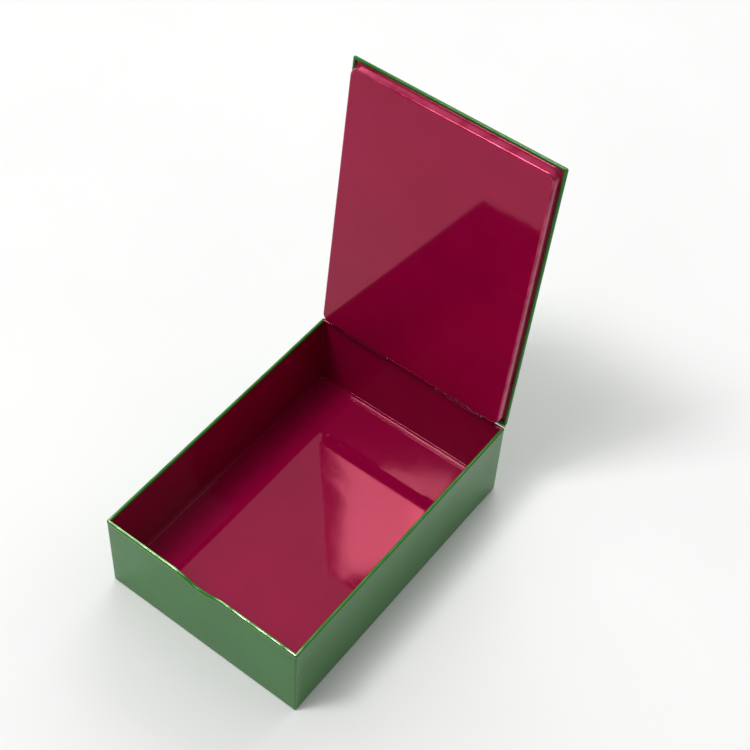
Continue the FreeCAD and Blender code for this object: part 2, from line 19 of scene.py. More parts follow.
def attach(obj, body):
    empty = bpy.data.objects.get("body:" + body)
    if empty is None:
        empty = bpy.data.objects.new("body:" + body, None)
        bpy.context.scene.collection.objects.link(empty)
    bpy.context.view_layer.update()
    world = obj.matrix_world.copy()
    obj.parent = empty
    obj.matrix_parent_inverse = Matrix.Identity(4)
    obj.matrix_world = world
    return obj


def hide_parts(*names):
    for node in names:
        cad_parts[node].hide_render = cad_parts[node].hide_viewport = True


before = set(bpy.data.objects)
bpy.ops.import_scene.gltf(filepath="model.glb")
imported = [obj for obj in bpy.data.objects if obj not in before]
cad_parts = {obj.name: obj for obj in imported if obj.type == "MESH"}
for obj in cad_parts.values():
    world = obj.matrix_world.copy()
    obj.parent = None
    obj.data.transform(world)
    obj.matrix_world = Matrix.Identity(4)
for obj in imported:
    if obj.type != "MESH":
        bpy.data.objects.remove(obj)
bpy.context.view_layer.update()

log = logging.getLogger("card_tin")

MM = 0.001
MERGE_GAP = 0.001 * MM
MITRE_RADIUS = 0.02
SHARP_ANGLE = 28.0
BEND_STEPS = 8
PANEL_ROWS = 13
FLAT_MARGIN = 0.45
CLOSE_ROW = FLAT_MARGIN / 3
NOISE_SPREAD = (0.3, 0.7)

Colour = tuple[float, float, float]
Socket = bpy.types.NodeSocket
Feed = Socket | Colour | float


class Body(Enum):
    """The CAD bodies that pieces ride on."""

    BASE = "base"
    LID = "lid"


class Side(IntEnum):
    """Which material slot a face of bent sheet takes."""

    NONE = -1
    OUTER = 0
    INNER = 1
    CUT = 2


class Surface(Enum):
    """The finishes, by the names of their materials."""

    GREEN = "green_enamel"
    CRIMSON = "crimson_lacquer"
    # A lighter copy of the crimson, painted lighter so the lid's face looks more lit.
    LIGHTER_LINER = "crimson_liner"
    STEEL = "bare_steel"
    PAPER = "paper_sweep"


class Kind(Enum):
    """What a node group's socket carries."""

    VALUE = "NodeSocketFloat"
    COLOUR = "NodeSocketColor"


Materials = dict[Surface, bpy.types.Material]


# ---------------------------------------------------------------- sizes


@dataclass(frozen=True)
class TinSizes:
    """The tin's sizes, in millimetres and degrees, as its CAD has them."""

    half_width: float = 49.0
    half_length: float = 70.0
    height: float = 43.5
    plate: float = 0.3
    corner_bend: float = 0.8
    rim_curl: float = 0.75
    rim_bulge: float = 0.12
    rim_curl_end: float = 110.0
    dip_half_width: float = 14.0
    dip_depth: float = 2.4
    foot_curl: float = 1.1
    foot_land: float = 0.5
    foot_curl_end: float = 75.0
    seam_gap: float = 0.03
    bottom_corner: float = 1.5
    wire_radius: float = 0.55
    wire_inset: float = 0.3
    wire_chamfer: float = 0.1
    wire_grip: float = 0.01
    wire_running: float = 0.05
    body_knuckle_end: float = 110.0
    lid_knuckle_end: float = 170.0
    middle_knuckle: float = 26.0
    end_knuckle: float = 7.0
    hinge_inset: float = 5.0
    knuckle_gap: float = 0.5
    hem_curl: float = 0.75
    lid_corner: float = 0.9
    lid_seat: float = 0.05
    lid_rear_inset: float = 0.3
    plug_clearance: float = 0.6
    plug_depth: float = 3.9
    plug_corner: float = 3.7
    plug_bend: float = 0.9
    open_angle: float = 95.4

    @property
    def wall_y(self) -> float:
        """How far back the rear wall's outer face lies."""
        return self.half_length - self.rim_bulge

    @property
    def rim_centre(self) -> float:
        """How high the rim curl's centre line lies."""
        return self.height - self.rim_curl

    @property
    def floor_top(self) -> float:
        """How high the bottom plate's top lies beside the wall."""
        return 2 * self.foot_curl + self.seam_gap + self.plate

    @property
    def grip_radius(self) -> float:
        """The inside of the body's knuckles."""
        return self.wire_radius + self.wire_grip

    @property
    def running_radius(self) -> float:
        """The inside of the lid's knuckles."""
        return self.wire_radius + self.wire_running

    @property
    def axis_behind(self) -> float:
        """How far the wire's axis lies behind the rear rim."""
        return self.grip_radius - self.rim_bulge

    @property
    def axis_y(self) -> float:
        """How far back the wire's axis lies."""
        return self.half_length + self.axis_behind

    @property
    def axis_z(self) -> float:
        """How high the wire's axis lies."""
        return self.height + self.lid_seat + 2 * self.hem_curl - self.lid_top

    @property
    def lid_top(self) -> float:
        """The shut lid's top, above the wire's axis."""
        return self.running_radius + self.plate

    @property
    def lid_front(self) -> float:
        """The shut lid's front edge, from the wire's axis."""
        return -(2 * self.half_length + self.axis_behind)

    @property
    def lid_rear(self) -> float:
        """The shut lid's rear edge, from the wire's axis."""
        return -(self.axis_behind + self.lid_rear_inset)

    @property
    def hinge_end(self) -> float:
        """Where the last knuckle ends."""
        return self.half_width - self.hinge_inset

    @property
    def end_knuckle_start(self) -> float:
        """Where the last knuckle starts."""
        return self.hinge_end - self.end_knuckle

    @property
    def plug_inset(self) -> float:
        """How far inside the rim's edge the plug's side lies."""
        return 2 * max(self.rim_curl, self.hem_curl) + self.plug_clearance


# ---------------------------------------------------------------- shapes


def arc(centre: tuple[float, float], radius: float, start: float, end: float, steps: int) -> np.ndarray:
    """Points of an arc.

    Args:
        centre: The arc's centre.
        radius: Its radius.
        start: The first point's angle in degrees.
        end: The last point's angle in degrees.
        steps: How many chords it is drawn with.

    Returns:
        An array of steps + 1 points, each centre + radius (cos, sin) of its angle.
    """
    turn = np.radians(np.linspace(start, end, steps + 1))
    return np.column_stack([centre[0] + radius * np.cos(turn), centre[1] + radius * np.sin(turn)])


def smooth_step(value: np.ndarray) -> np.ndarray:
    """Ease from 0 to 1: 3 v squared minus 2 v cubed, with v held between 0 and 1."""
    held = np.clip(value, 0.0, 1.0)
    return held * held * (3.0 - 2.0 * held)


def evenly(low: float, high: float, count: int) -> tuple[float, ...]:
    """Evenly spaced numbers between two ends, without the ends."""
    return tuple(np.linspace(low, high, count + 2)[1:-1].tolist())


def stations(half: float, margin: float, count: int) -> tuple[float, ...]:
    """Evenly spaced places along a straight run, which stops a margin short of each end."""
    return evenly(-half + margin, half - margin, count)


def line(first: float, rest: np.ndarray | tuple[float, ...]) -> np.ndarray:
    """Points that share their first number, such as profile rows up a wall at one inset."""
    return np.column_stack([np.full(len(rest), first), rest])


def panel_rows(inset: float, height: float, inwards: bool = False) -> np.ndarray:
    """Profile rows across a flat panel.

    Args:
        inset: Where its edge lies.
        height: How high it lies.
        inwards: Whether the rows run from the edge to the middle, and not from the middle out.

    Returns:
        Rows of inset, height and share of the way to the ring's spine, in even steps.
    """
    rows = line(inset, line(height, np.linspace(1.0, 0.0, PANEL_ROWS)))
    return rows[::-1] if inwards else rows


def face_rows(bend: float, height: float) -> np.ndarray:
    """Profile rows from a face's middle out to near its edge bend, with a close row beside it."""
    return np.vstack([panel_rows(bend + FLAT_MARGIN, height), [bend + CLOSE_ROW, height, 0.0]])


def strips(*runs: tuple[int, Side]) -> np.ndarray:
    """The material slot of each strip of a profile, from how many strips in turn take each."""
    return np.concatenate([np.full(count, side, dtype=int) for count, side in runs])


def with_share(rows: np.ndarray) -> np.ndarray:
    """Profile rows given no share of the way to the spine."""
    return np.column_stack([rows, np.zeros(len(rows))])


def hook(bend: float, tip: float, height: float, radius: float, end: float, end_steps: int) -> np.ndarray:
    """One face of a sheet that comes down a wall, bends in and curls up at its tip.

    Args:
        bend: The inset of the bend's centre.
        tip: The inset of the curl's centre.
        height: How high both centres lie.
        radius: The face's radius in both.
        end: The angle at which the curl ends, in degrees.
        end_steps: How many chords the curl is drawn with.

    Returns:
        Rows of inset and height: a quarter turn about the bend, then the curl about the tip.
    """
    quarter = arc((bend, height), radius, -180, -90, BEND_STEPS)
    return np.vstack([quarter, arc((tip, height), radius, -90, end, end_steps)])


@dataclass(frozen=True)
class Ring:
    """A rounded rectangle whose stations keep their places at every inset.

    Attributes:
        half_x: Half its size across.
        half_y: Half its size from front to rear.
        radius: The corner radius at no inset.
        front: The stations' x along the front run, rising.
        rear: The stations' x along the rear run, rising.
        sides: The stations' y, from the ring's centre, along the left and right runs, rising.
        centre_y: Where its centre lies.
        steps: Chords in each corner.
    """

    half_x: float
    half_y: float
    radius: float
    front: tuple[float, ...]
    rear: tuple[float, ...]
    sides: tuple[float, ...]
    centre_y: float = 0.0
    steps: int = BEND_STEPS

    def at(self, inset: float) -> np.ndarray:
        """The ring drawn a distance inwards, counter-clockwise from the front run.

        A corner's radius shrinks with the inset until it is a mitre, and each straight station
        keeps its place along its run.

        Args:
            inset: The distance inwards.

        Returns:
            One point for each station.
        """
        radius = max(self.radius - inset, MITRE_RADIUS)
        x = self.half_x - inset
        y = self.half_y - inset
        front = line(-y, self.front)[:, ::-1]
        right = line(x, self.sides)
        rear = line(y, self.rear)[::-1, ::-1]
        left = line(-x, self.sides)[::-1]
        corners = [
            arc(((x - radius) * across, (y - radius) * along), radius, start, start + 90, self.steps)
            for across, along, start in ((1, -1, -90), (1, 1, 0), (-1, 1, 90), (-1, -1, 180))
        ]
        ring = np.vstack([part for pair in zip((front, right, rear, left), corners) for part in pair])
        ring[:, 1] += self.centre_y
        return ring

    def spine(self) -> np.ndarray:
        """The line that the ring shrinks to.

        Returns:
            Its nearest point to each station.
        """
        ring = self.at(0.0)
        reach = max(self.half_y - self.half_x, 0.0)
        local = np.clip(ring[:, 1] - self.centre_y, -reach, reach)
        return np.column_stack([np.zeros(len(ring)), local + self.centre_y])

    def rear_index(self, x: float) -> int:
        """The station on the rear run that lies at x."""
        first = len(self.front) + len(self.sides) + 2 * (self.steps + 1)
        return first + len(self.rear) - 1 - self.rear.index(x)

    def run(self, start: float, stop: float) -> np.ndarray:
        """The stations counter-clockwise from one place on the rear run to another.

        Args:
            start: The x of the first station.
            stop: The x of the last station.

        Returns:
            The stations' indices in order, round the whole ring if the last lies first.
        """
        total = len(self.at(0.0))
        first = self.rear_index(start)
        last = self.rear_index(stop)
        return np.arange(first, last + 1 if last > first else last + total + 1) % total

    def sweep(self, profile: np.ndarray, kept: np.ndarray | slice = slice(None)) -> np.ndarray:
        """Carry a profile round the ring.

        Args:
            profile: Rows of inset, height and, if there is a third column, share of the way
                from the ring to its spine.
            kept: Which of the ring's stations to use.

        Returns:
            A grid of points: each row is the ring at that row's inset, moved by its share
            towards the spine, at that row's height.
        """
        spine = self.spine()
        rows = []
        for inset, height, *share in profile:
            flat = self.at(inset)
            flat = flat + (spine - flat) * (share[0] if share else 0.0)
            rows.append(np.column_stack([flat, np.full(len(flat), height)]))
        return np.stack(rows)[:, kept]


class SheetMesh:
    """Gathers swept surfaces as whole arrays and writes them to one mesh."""

    def __init__(self) -> None:
        """Start with nothing drawn."""
        self.points: list[np.ndarray] = []
        self.faces: list[tuple[int, ...]] = []
        self.slots: list[int] = []
        self.wear_and_highlight: list[np.ndarray] = []
        self.count = 0

    def add_grid(
        self,
        grid: np.ndarray,
        sides: np.ndarray | int,
        closed_rows: bool = True,
        closed_columns: bool = True,
        wear_and_highlight: np.ndarray | None = None,
    ) -> np.ndarray:
        """Add a grid of points as quads.

        Args:
            grid: Points, profile rows by stations.
            sides: The material slot of each strip between two rows, of each face, or of all;
                faces of Side.NONE are left out.
            closed_rows: Whether the last row joins the first.
            closed_columns: Whether the last station joins the first.
            wear_and_highlight: How much scuffing and painted highlight each row or each point has, from 0 up.

        Returns:
            The grid's vertex indices, rows by stations.
        """
        rows, columns = grid.shape[:2]
        self.points.append(grid.reshape(-1, 3))
        worn_highlight = np.zeros((rows, 1)) if wear_and_highlight is None else wear_and_highlight.reshape(rows, -1)
        self.wear_and_highlight.append(np.broadcast_to(worn_highlight, (rows, columns)).reshape(-1))
        index = np.arange(rows * columns).reshape(rows, columns) + self.count
        self.count += rows * columns
        net = np.vstack([index, index[:1]]) if closed_rows else index
        net = np.hstack([net, net[:, :1]]) if closed_columns else net
        quads = np.stack([net[:-1, :-1], net[:-1, 1:], net[1:, 1:], net[1:, :-1]], axis=-1)
        slots = np.asarray(sides)
        slots = slots[:, None] if slots.ndim == 1 else slots
        slots = np.broadcast_to(slots, quads.shape[:2]).reshape(-1)
        kept = slots != Side.NONE
        self.faces.extend(map(tuple, quads.reshape(-1, 4)[kept].tolist()))
        self.slots.extend(slots[kept].tolist())
        return index

    def close_ends(self, index: np.ndarray, side: Side) -> None:
        """Close both ends of an open run, each with one flat face.

        Args:
            index: The run's vertex indices, rows by stations.
            side: The faces' material slot.
        """
        for end in (0, -1):
            self.faces.append(tuple(index[:, end].tolist()))
            self.slots.append(int(side))

    def add_extrusion(self, loop: np.ndarray, sides: np.ndarray, start: float, stop: float) -> None:
        """Carry a closed loop along X, and close both ends.

        Args:
            loop: Rows of Y and Z.
            sides: The material slot of each strip between two rows.
            start: Where it starts along X.
            stop: Where it ends.
        """
        grid = np.stack([line(start, loop), line(stop, loop)], axis=1)
        self.close_ends(self.add_grid(grid, sides, closed_columns=False), Side.CUT)

    def swing_open(self, tin: TinSizes) -> None:
        """Turn what is drawn shut about the wire's axis by the open angle, and carry it there.

        Args:
            tin: The tin's sizes.
        """
        angle = math.radians(-tin.open_angle)
        for number, points in enumerate(self.points):
            x, y, z = points.T
            back = y * math.cos(angle) - z * math.sin(angle) + tin.axis_y
            up = y * math.sin(angle) + z * math.cos(angle) + tin.axis_z
            self.points[number] = np.column_stack([x, back, up])

    def write(self, name: str, materials: list[bpy.types.Material]) -> bpy.types.Object:
        """Make the object.

        Args:
            name: The object's name.
            materials: One material for each slot used.

        Returns:
            The new object, at the origin, with its place in its mesh.
        """
        mesh = bpy.data.meshes.new(name)
        mesh.from_pydata((np.vstack(self.points) * MM).tolist(), [], self.faces)
        mesh.polygons.foreach_set("material_index", np.array(self.slots, dtype=np.int32))
        wear_and_highlight = mesh.attributes.new("wear_and_highlight", "FLOAT", "POINT")
        wear_and_highlight.data.foreach_set("value", np.concatenate(self.wear_and_highlight).astype(np.float32))
        close_surface(mesh)
        mesh.shade_smooth()
        mesh.set_sharp_from_angle(angle=math.radians(SHARP_ANGLE))
        for material in materials:
            mesh.materials.append(material)
        return link(bpy.data.objects.new(name, mesh))


def close_surface(mesh: bpy.types.Mesh) -> None:
    """Merge the points that meet at seams and poles, and turn every face outwards.

    Args:
        mesh: The mesh, changed in place.
    """
    editable = bmesh.new()
    editable.from_mesh(mesh)
    bmesh.ops.remove_doubles(editable, verts=editable.verts, dist=MERGE_GAP)
    bmesh.ops.recalc_face_normals(editable, faces=editable.faces)
    editable.to_mesh(mesh)
    editable.free()


def link(made: bpy.types.Object) -> bpy.types.Object:
    """Put an object in the scene, and return it."""
    bpy.context.scene.collection.objects.link(made)
    return made


# ---------------------------------------------------------------- finishes


class ShaderTree:
    """Places and joins the nodes of a material, a world or a group."""

    def __init__(self, tree: bpy.types.NodeTree) -> None:
        """Start with an empty tree."""
        self.tree = tree
        self.tree.nodes.clear()

    def feed(self, target: Socket, value: Feed) -> None:
        """Join a socket to an input, or set a plain number, vector or colour on it.

        Args:
            target: The input.
            value: What feeds it.
        """
        if isinstance(value, Socket):
            self.tree.links.new(value, target)
        else:
            target.default_value = (*value, 1.0) if target.type == "RGBA" else value

    def add(self, kind: str, inputs: dict[str | int, Feed], **settings: object) -> bpy.types.Node:
        """Place a node.

        Args:
            kind: The node's type.
            inputs: What feeds its inputs, by their names or numbers.
            settings: Its properties, which are set first.

        Returns:
            The node.
        """
        placed = self.tree.nodes.new(kind)
        for name, value in settings.items():
            setattr(placed, name, value)
        for name, value in inputs.items():
            self.feed(placed.inputs[name], value)
        return placed

    def place(self) -> Socket:
        """The object's own coordinates, in metres."""
        return self.add("ShaderNodeTexCoord", {}).outputs["Object"]

    def noise(self, grain: tuple[float, float], place: Socket | None = None) -> Socket:
        """Noise, most of it within NOISE_SPREAD.

        Args:
            grain: Its cells in a metre, and how many finer layers it has.
            place: Where it is read, or None for the object's own coordinates.

        Returns:
            The noise's value.
        """
        place = self.place() if place is None else place
        inputs = {"Scale": grain[0], "Detail": grain[1], "Vector": place}
        return self.add("ShaderNodeTexNoise", inputs).outputs["Fac"]

    def number(self, operation: str, first: Feed, second: Feed) -> Socket:
        """Work a number out from two.

        Args:
            operation: The Math node's operation.
            first: Its first number.
            second: Its second.

        Returns:
            The outcome.
        """
        return self.add("ShaderNodeMath", {0: first, 1: second}, operation=operation).outputs[0]

    def ramp(
        self,
        value: Socket,
        spread: tuple[float, float] = NOISE_SPREAD,
        result: tuple[float, float] = (0.0, 1.0),
    ) -> Socket:
        """Map a value's range to another, held at both ends.

        Args:
            value: The value.
            spread: Its range.
            result: The range that it is mapped to.

        Returns:
            The mapped value.
        """
        inputs = {
            "Value": value,
            "From Min": spread[0],
            "From Max": spread[1],
            "To Min": result[0],
            "To Max": result[1],
        }
        return self.add("ShaderNodeMapRange", inputs).outputs["Result"]

    def blend(self, share: Socket, first: Feed, second: Feed) -> Socket:
        """A colour between two.

        Args:
            share: The second's share, from 0 to 1.
            first: The first colour.
            second: The second colour.

        Returns:
            The blended colour.
        """
        inputs = {"Factor": share, "A": first, "B": second}
        return self.add("ShaderNodeMix", inputs, data_type="RGBA").outputs["Result"]


class EffectGroup(ShaderTree):
    """A node group that any finish can place with its own values."""

    def __init__(self, name: str, inputs: dict[str, Kind], outputs: dict[str, Kind]) -> None:
        """Start a group.

        Args:
            name: The group's name.
            inputs: What each named input takes.
            outputs: What each named output gives.
        """
        super().__init__(bpy.data.node_groups.new(name, "ShaderNodeTree"))
        for direction, sockets in (("INPUT", inputs), ("OUTPUT", outputs)):
            for label, kind in sockets.items():
                self.tree.interface.new_socket(label, in_out=direction, socket_type=kind.value)
        self.given = self.tree.nodes.new("NodeGroupInput").outputs
        self.result = self.tree.nodes.new("NodeGroupOutput").inputs

    def put_in(self, tree: ShaderTree, inputs: dict[str | int, Feed]) -> bpy.types.bpy_prop_collection:
        """Place the group in a material.

        Args:
            tree: The material's tree.
            inputs: What feeds the group's inputs.

        Returns:
            The group's outputs.
        """
        return tree.add("ShaderNodeGroup", inputs, node_tree=self.tree).outputs


class SharedEffects:
    """The node groups that every lacquered sheet uses.

    Attributes:
        broad: The grain of the sheet's unevenness from rolling.
        peel: The grain of the lacquer's orange peel.
        flow: The grain of the film's thickness.
        haze: The grain of its roughness.
        haze_share: The least and most of a finish's roughness that haze gives.
        patches: The grain of the scuffs and the painted highlights.
        patch_spread: The noise where the scuffs and painted highlights begin and are full.
        bare_metal: How metallic the sheet is under its scuffs and painted highlights.
        bare_roughness: How much rougher it is there.
    """

    broad = (22.0, 1.0)
    peel = (900.0, 1.0)
    flow = (45.0, 3.0)
    haze = (140.0, 4.0)
    haze_share = (0.85, 1.2)
    patches = (160.0, 5.0)
    patch_spread = (0.34, 0.62)
    bare_metal = 0.8
    bare_roughness = 0.12

    def __init__(self) -> None:
        """Build each group once."""
        self.ripple = self._make_ripple()
        self.film = self._make_film()
        self.wear_and_highlight = self._make_wear_and_highlight()

    def _make_ripple(self) -> EffectGroup:
        """The sheet's height: its broad unevenness, and the lacquer's fine orange peel.

        Returns:
            The group.
        """
        group = EffectGroup("sheet_ripple", {"Peel": Kind.VALUE}, {"Height": Kind.VALUE})
        peel = group.number("MULTIPLY", group.noise(self.peel), group.given["Peel"])
        height = group.number("ADD", group.noise(self.broad), peel)
        group.feed(group.result["Height"], height)
        return group

    def _make_film(self) -> EffectGroup:
        """The lacquer's colour, by how thick it lies, and how rough it dried.

        Returns:
            The group.
        """
        inputs = {"Thin": Kind.COLOUR, "Thick": Kind.COLOUR, "Roughness": Kind.VALUE}
        group = EffectGroup("lacquer_film", inputs, {"Colour": Kind.COLOUR, "Roughness": Kind.VALUE})
        flow = group.ramp(group.noise(self.flow))
        haze = group.ramp(group.noise(self.haze), result=self.haze_share)
        group.feed(group.result["Colour"], group.blend(flow, group.given["Thin"], group.given["Thick"]))
        group.feed(group.result["Roughness"], group.number("MULTIPLY", haze, group.given["Roughness"]))
        return group

    def _make_wear_and_highlight(self) -> EffectGroup:
        """Scuffed edges and painted highlights, shown as paler, barer metal, broken up by noise.

        Returns:
            The group.
        """
        kinds = {"Colour": Kind.COLOUR, "Roughness": Kind.VALUE, "Metallic": Kind.VALUE}
        group = EffectGroup("edge_wear_and_highlight", kinds | {"Worn Highlight": Kind.COLOUR}, kinds)
        # The marked amount is scuffing and painted highlight alike: pale bare tin on the rim's crown, bright
        # crimson on the plug's bend and side.
        marked = group.add("ShaderNodeAttribute", {}, attribute_name="wear_and_highlight").outputs["Fac"]
        patches = group.ramp(group.noise(self.patches), self.patch_spread)
        mask = group.number("MINIMUM", group.number("MULTIPLY", marked, patches), 1.0)
        given = group.given
        rougher = group.number("MULTIPLY", mask, self.bare_roughness)
        barer = group.number("MULTIPLY", mask, self.bare_metal)
        group.feed(group.result["Colour"], group.blend(mask, given["Colour"], given["Worn Highlight"]))
        group.feed(group.result["Roughness"], group.number("ADD", given["Roughness"], rougher))
        group.feed(group.result["Metallic"], group.number("MAXIMUM", barer, given["Metallic"]))
        return group


@dataclass(frozen=True)
class Finish(ABC):
    """A surface finish that can build its material."""

    @abstractmethod
    def sockets(self, tree: ShaderTree, effects: SharedEffects) -> dict[str, Feed]:
        """Place the nodes that vary the finish over the surface.

        Args:
            tree: The material's tree.
            effects: The shared groups.

        Returns:
            What feeds each of the shader's inputs.
        """

    def build(self, name: str, effects: SharedEffects) -> bpy.types.Material:
        """Make the material.

        Args:
            name: The material's name.
            effects: The shared groups.

        Returns:
            The material.
        """
        material = bpy.data.materials.new(name)
        material.use_nodes = True
        tree = ShaderTree(material.node_tree)
        shader = tree.add("ShaderNodeBsdfPrincipled", self.sockets(tree, effects))
        tree.add("ShaderNodeOutputMaterial", {"Surface": shader.outputs["BSDF"]})
        return material


@dataclass(frozen=True)
class Lacquer(Finish):
    """A coloured film on tinplate.

    Attributes:
        thin: Colour where the film is thin.
        thick: Colour where it is thick.
        worn_highlight: Colour where the film is scuffed bare, also painted as a highlight.
        metallic: How much of the tinplate shows through the film.
        roughness: Roughness of the film.
        gloss: How strongly the film mirrors, 0.5 for a common varnish.
        ripple: Strength of the sheet's unevenness.
        peel: How high the orange peel stands beside that unevenness.
    """

    thin: Colour
    thick: Colour
    worn_highlight: Colour
    metallic: float
    roughness: float
    gloss: float
    ripple: float
    peel: float = 0.006

    def sockets(self, tree: ShaderTree, effects: SharedEffects) -> dict[str, Feed]:
        """The film with its scuffs and painted highlights, over the sheet's ripple.

        Args:
            tree: The material's tree.
            effects: The shared groups.

        Returns:
            What feeds each of the shader's inputs.
        """
        inputs = {"Thin": self.thin, "Thick": self.thick, "Roughness": self.roughness}
        film = effects.film.put_in(tree, inputs)
        inputs = {"Colour": film["Colour"], "Roughness": film["Roughness"]}
        inputs |= {"Metallic": self.metallic, "Worn Highlight": self.worn_highlight}
        surface = effects.wear_and_highlight.put_in(tree, inputs)
        height = effects.ripple.put_in(tree, {"Peel": self.peel})["Height"]
        bump = tree.add("ShaderNodeBump", {"Strength": self.ripple, "Distance": MM, "Height": height})
        return {
            "Base Color": surface["Colour"],
            "Roughness": surface["Roughness"],
            "Metallic": surface["Metallic"],
            "Specular IOR Level": self.gloss,
            "Normal": bump.outputs["Normal"],
        }


@dataclass(frozen=True)
class BareSteel(Finish):
    """Drawn wire or a sheet's raw edge: bright, with fine lines along X.

    Attributes:
        colour: Its colour where it is clean.
        dull: Its colour where it is tarnished.
        roughness: Its middle roughness.
        rough_share: The least and most of that roughness that the lines give.
        stretch: How the lines are drawn out along X.
        lines: The lines' grain.
        tarnish: The tarnish's grain.
        tarnish_spread: The noise where tarnish begins and is full.
    """

    colour: Colour
    dull: Colour
    roughness: float
    rough_share: tuple[float, float] = (0.8, 1.3)
    stretch: tuple[float, float, float] = (0.05, 1.0, 1.0)
    lines: tuple[float, float] = (6000.0, 3.0)
    tarnish: tuple[float, float] = (300.0, 3.0)
    tarnish_spread: tuple[float, float] = (0.35, 0.7)

    def sockets(self, tree: ShaderTree, effects: SharedEffects) -> dict[str, Feed]:
        """Tarnish in patches over fine drawn lines.

        Args:
            tree: The material's tree.
            effects: The shared groups, which this finish does not use.

        Returns:
            What feeds each of the shader's inputs.
        """
        drawn = tree.add("ShaderNodeMapping", {"Vector": tree.place(), "Scale": self.stretch})
        lines = tree.noise(self.lines, drawn.outputs["Vector"])
        tarnish = tree.ramp(tree.noise(self.tarnish), self.tarnish_spread)
        least, most = self.rough_share
        return {
            "Base Color": tree.blend(tarnish, self.colour, self.dull),
            "Roughness": tree.ramp(lines, result=(self.roughness * least, self.roughness * most)),
            "Metallic": 1.0,
        }


@dataclass(frozen=True)
class PaperSweep(Finish):
    """The pale matt surface the tin stands on, with a faint mottle.

    Attributes:
        colour: Its colour.
        shade: Its colour in the mottle.
        mottle: The mottle's grain.
        roughness: Its roughness.
        gloss: How strongly it mirrors.
    """

    colour: Colour
    shade: Colour
    mottle: tuple[float, float] = (6.0, 3.0)
    roughness: float = 0.7
    gloss: float = 0.3

    def sockets(self, tree: ShaderTree, effects: SharedEffects) -> dict[str, Feed]:
        """The mottled colour, matt.

        Args:
            tree: The material's tree.
            effects: The shared groups, which this finish does not use.

        Returns:
            What feeds each of the shader's inputs.
        """
        mottle = tree.ramp(tree.noise(self.mottle))
        return {
            "Base Color": tree.blend(mottle, self.colour, self.shade),
            "Roughness": self.roughness,
            "Specular IOR Level": self.gloss,
        }


FINISHES: dict[Surface, Finish] = {
    Surface.GREEN: Lacquer(
        thin=(0.021, 0.183, 0.016),
        thick=(0.016, 0.157, 0.011),
        # Pale cream green: bare tin where the rim's crown is scuffed, painted pale as the rim's highlight
        # line.
        worn_highlight=(0.40, 0.57, 0.32),
        metallic=0.0,
        roughness=0.11,
        gloss=0.31,
        ripple=0.25,
    ),
    Surface.CRIMSON: Lacquer(
        thin=(0.325, 0.0010, 0.049),
        thick=(0.294, 0.0008, 0.043),
        # Bright crimson where the rear rim's crown is scuffed, also a painted highlight.
        worn_highlight=(0.50, 0.05, 0.12),
        metallic=0.145,
        roughness=0.045,
        gloss=0.38,
        ripple=0.12,
    ),
    # A lighter, more metallic copy of the crimson lacquer, painted lighter so the lid's face looks more lit
    # than the tin's inside.
    Surface.LIGHTER_LINER: Lacquer(
        thin=(0.350, 0.0010, 0.050),
        thick=(0.318, 0.0008, 0.044),
        # Bright crimson: painted highlight on the plug's bend and side, over thinner lacquer at the bend.
        worn_highlight=(0.50, 0.05, 0.12),
        metallic=0.25,
        roughness=0.045,
        gloss=0.285,
        ripple=0.12,
    ),
    Surface.STEEL: BareSteel(colour=(0.46, 0.45, 0.44), dull=(0.32, 0.31, 0.30), roughness=0.30),
    Surface.PAPER: PaperSweep(colour=(0.84, 0.84, 0.835), shade=(0.81, 0.81, 0.805)),
}


# ---------------------------------------------------------------- pieces


@dataclass(frozen=True)
class Piece(ABC):
    """A separate sheet or wire of the tin: it draws its mesh, is dressed and rides its body.

    Attributes:
        tin: The tin's sizes.
        materials: The built finishes.
        sheet: The mesh that it is drawn in.
    """

    name: ClassVar[str]
    node: ClassVar[str]
    body: ClassVar[Body]
    slot: ClassVar[str]
    surfaces: ClassVar[tuple[Surface, ...]] = (Surface.GREEN, Surface.CRIMSON, Surface.STEEL)

    tin: TinSizes
    materials: Materials
    sheet: SheetMesh = field(default_factory=SheetMesh)

    @abstractmethod
    def draw(self) -> None:
        """Draw the piece."""

    def dress(self) -> bpy.types.Object:
        """Draw the piece, tie it to its body and let it stand for its CAD node.

        Returns:
            The finished piece.
        """
        self.draw()
        if self.body is Body.LID:
            self.sheet.swing_open(self.tin)
        piece = self.sheet.write(self.name, [self.materials[surface] for surface in self.surfaces])
        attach(piece, self.body.value)
        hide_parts(self.node)
        log.info("%s: %d faces", self.name, len(piece.data.polygons))
        return piece


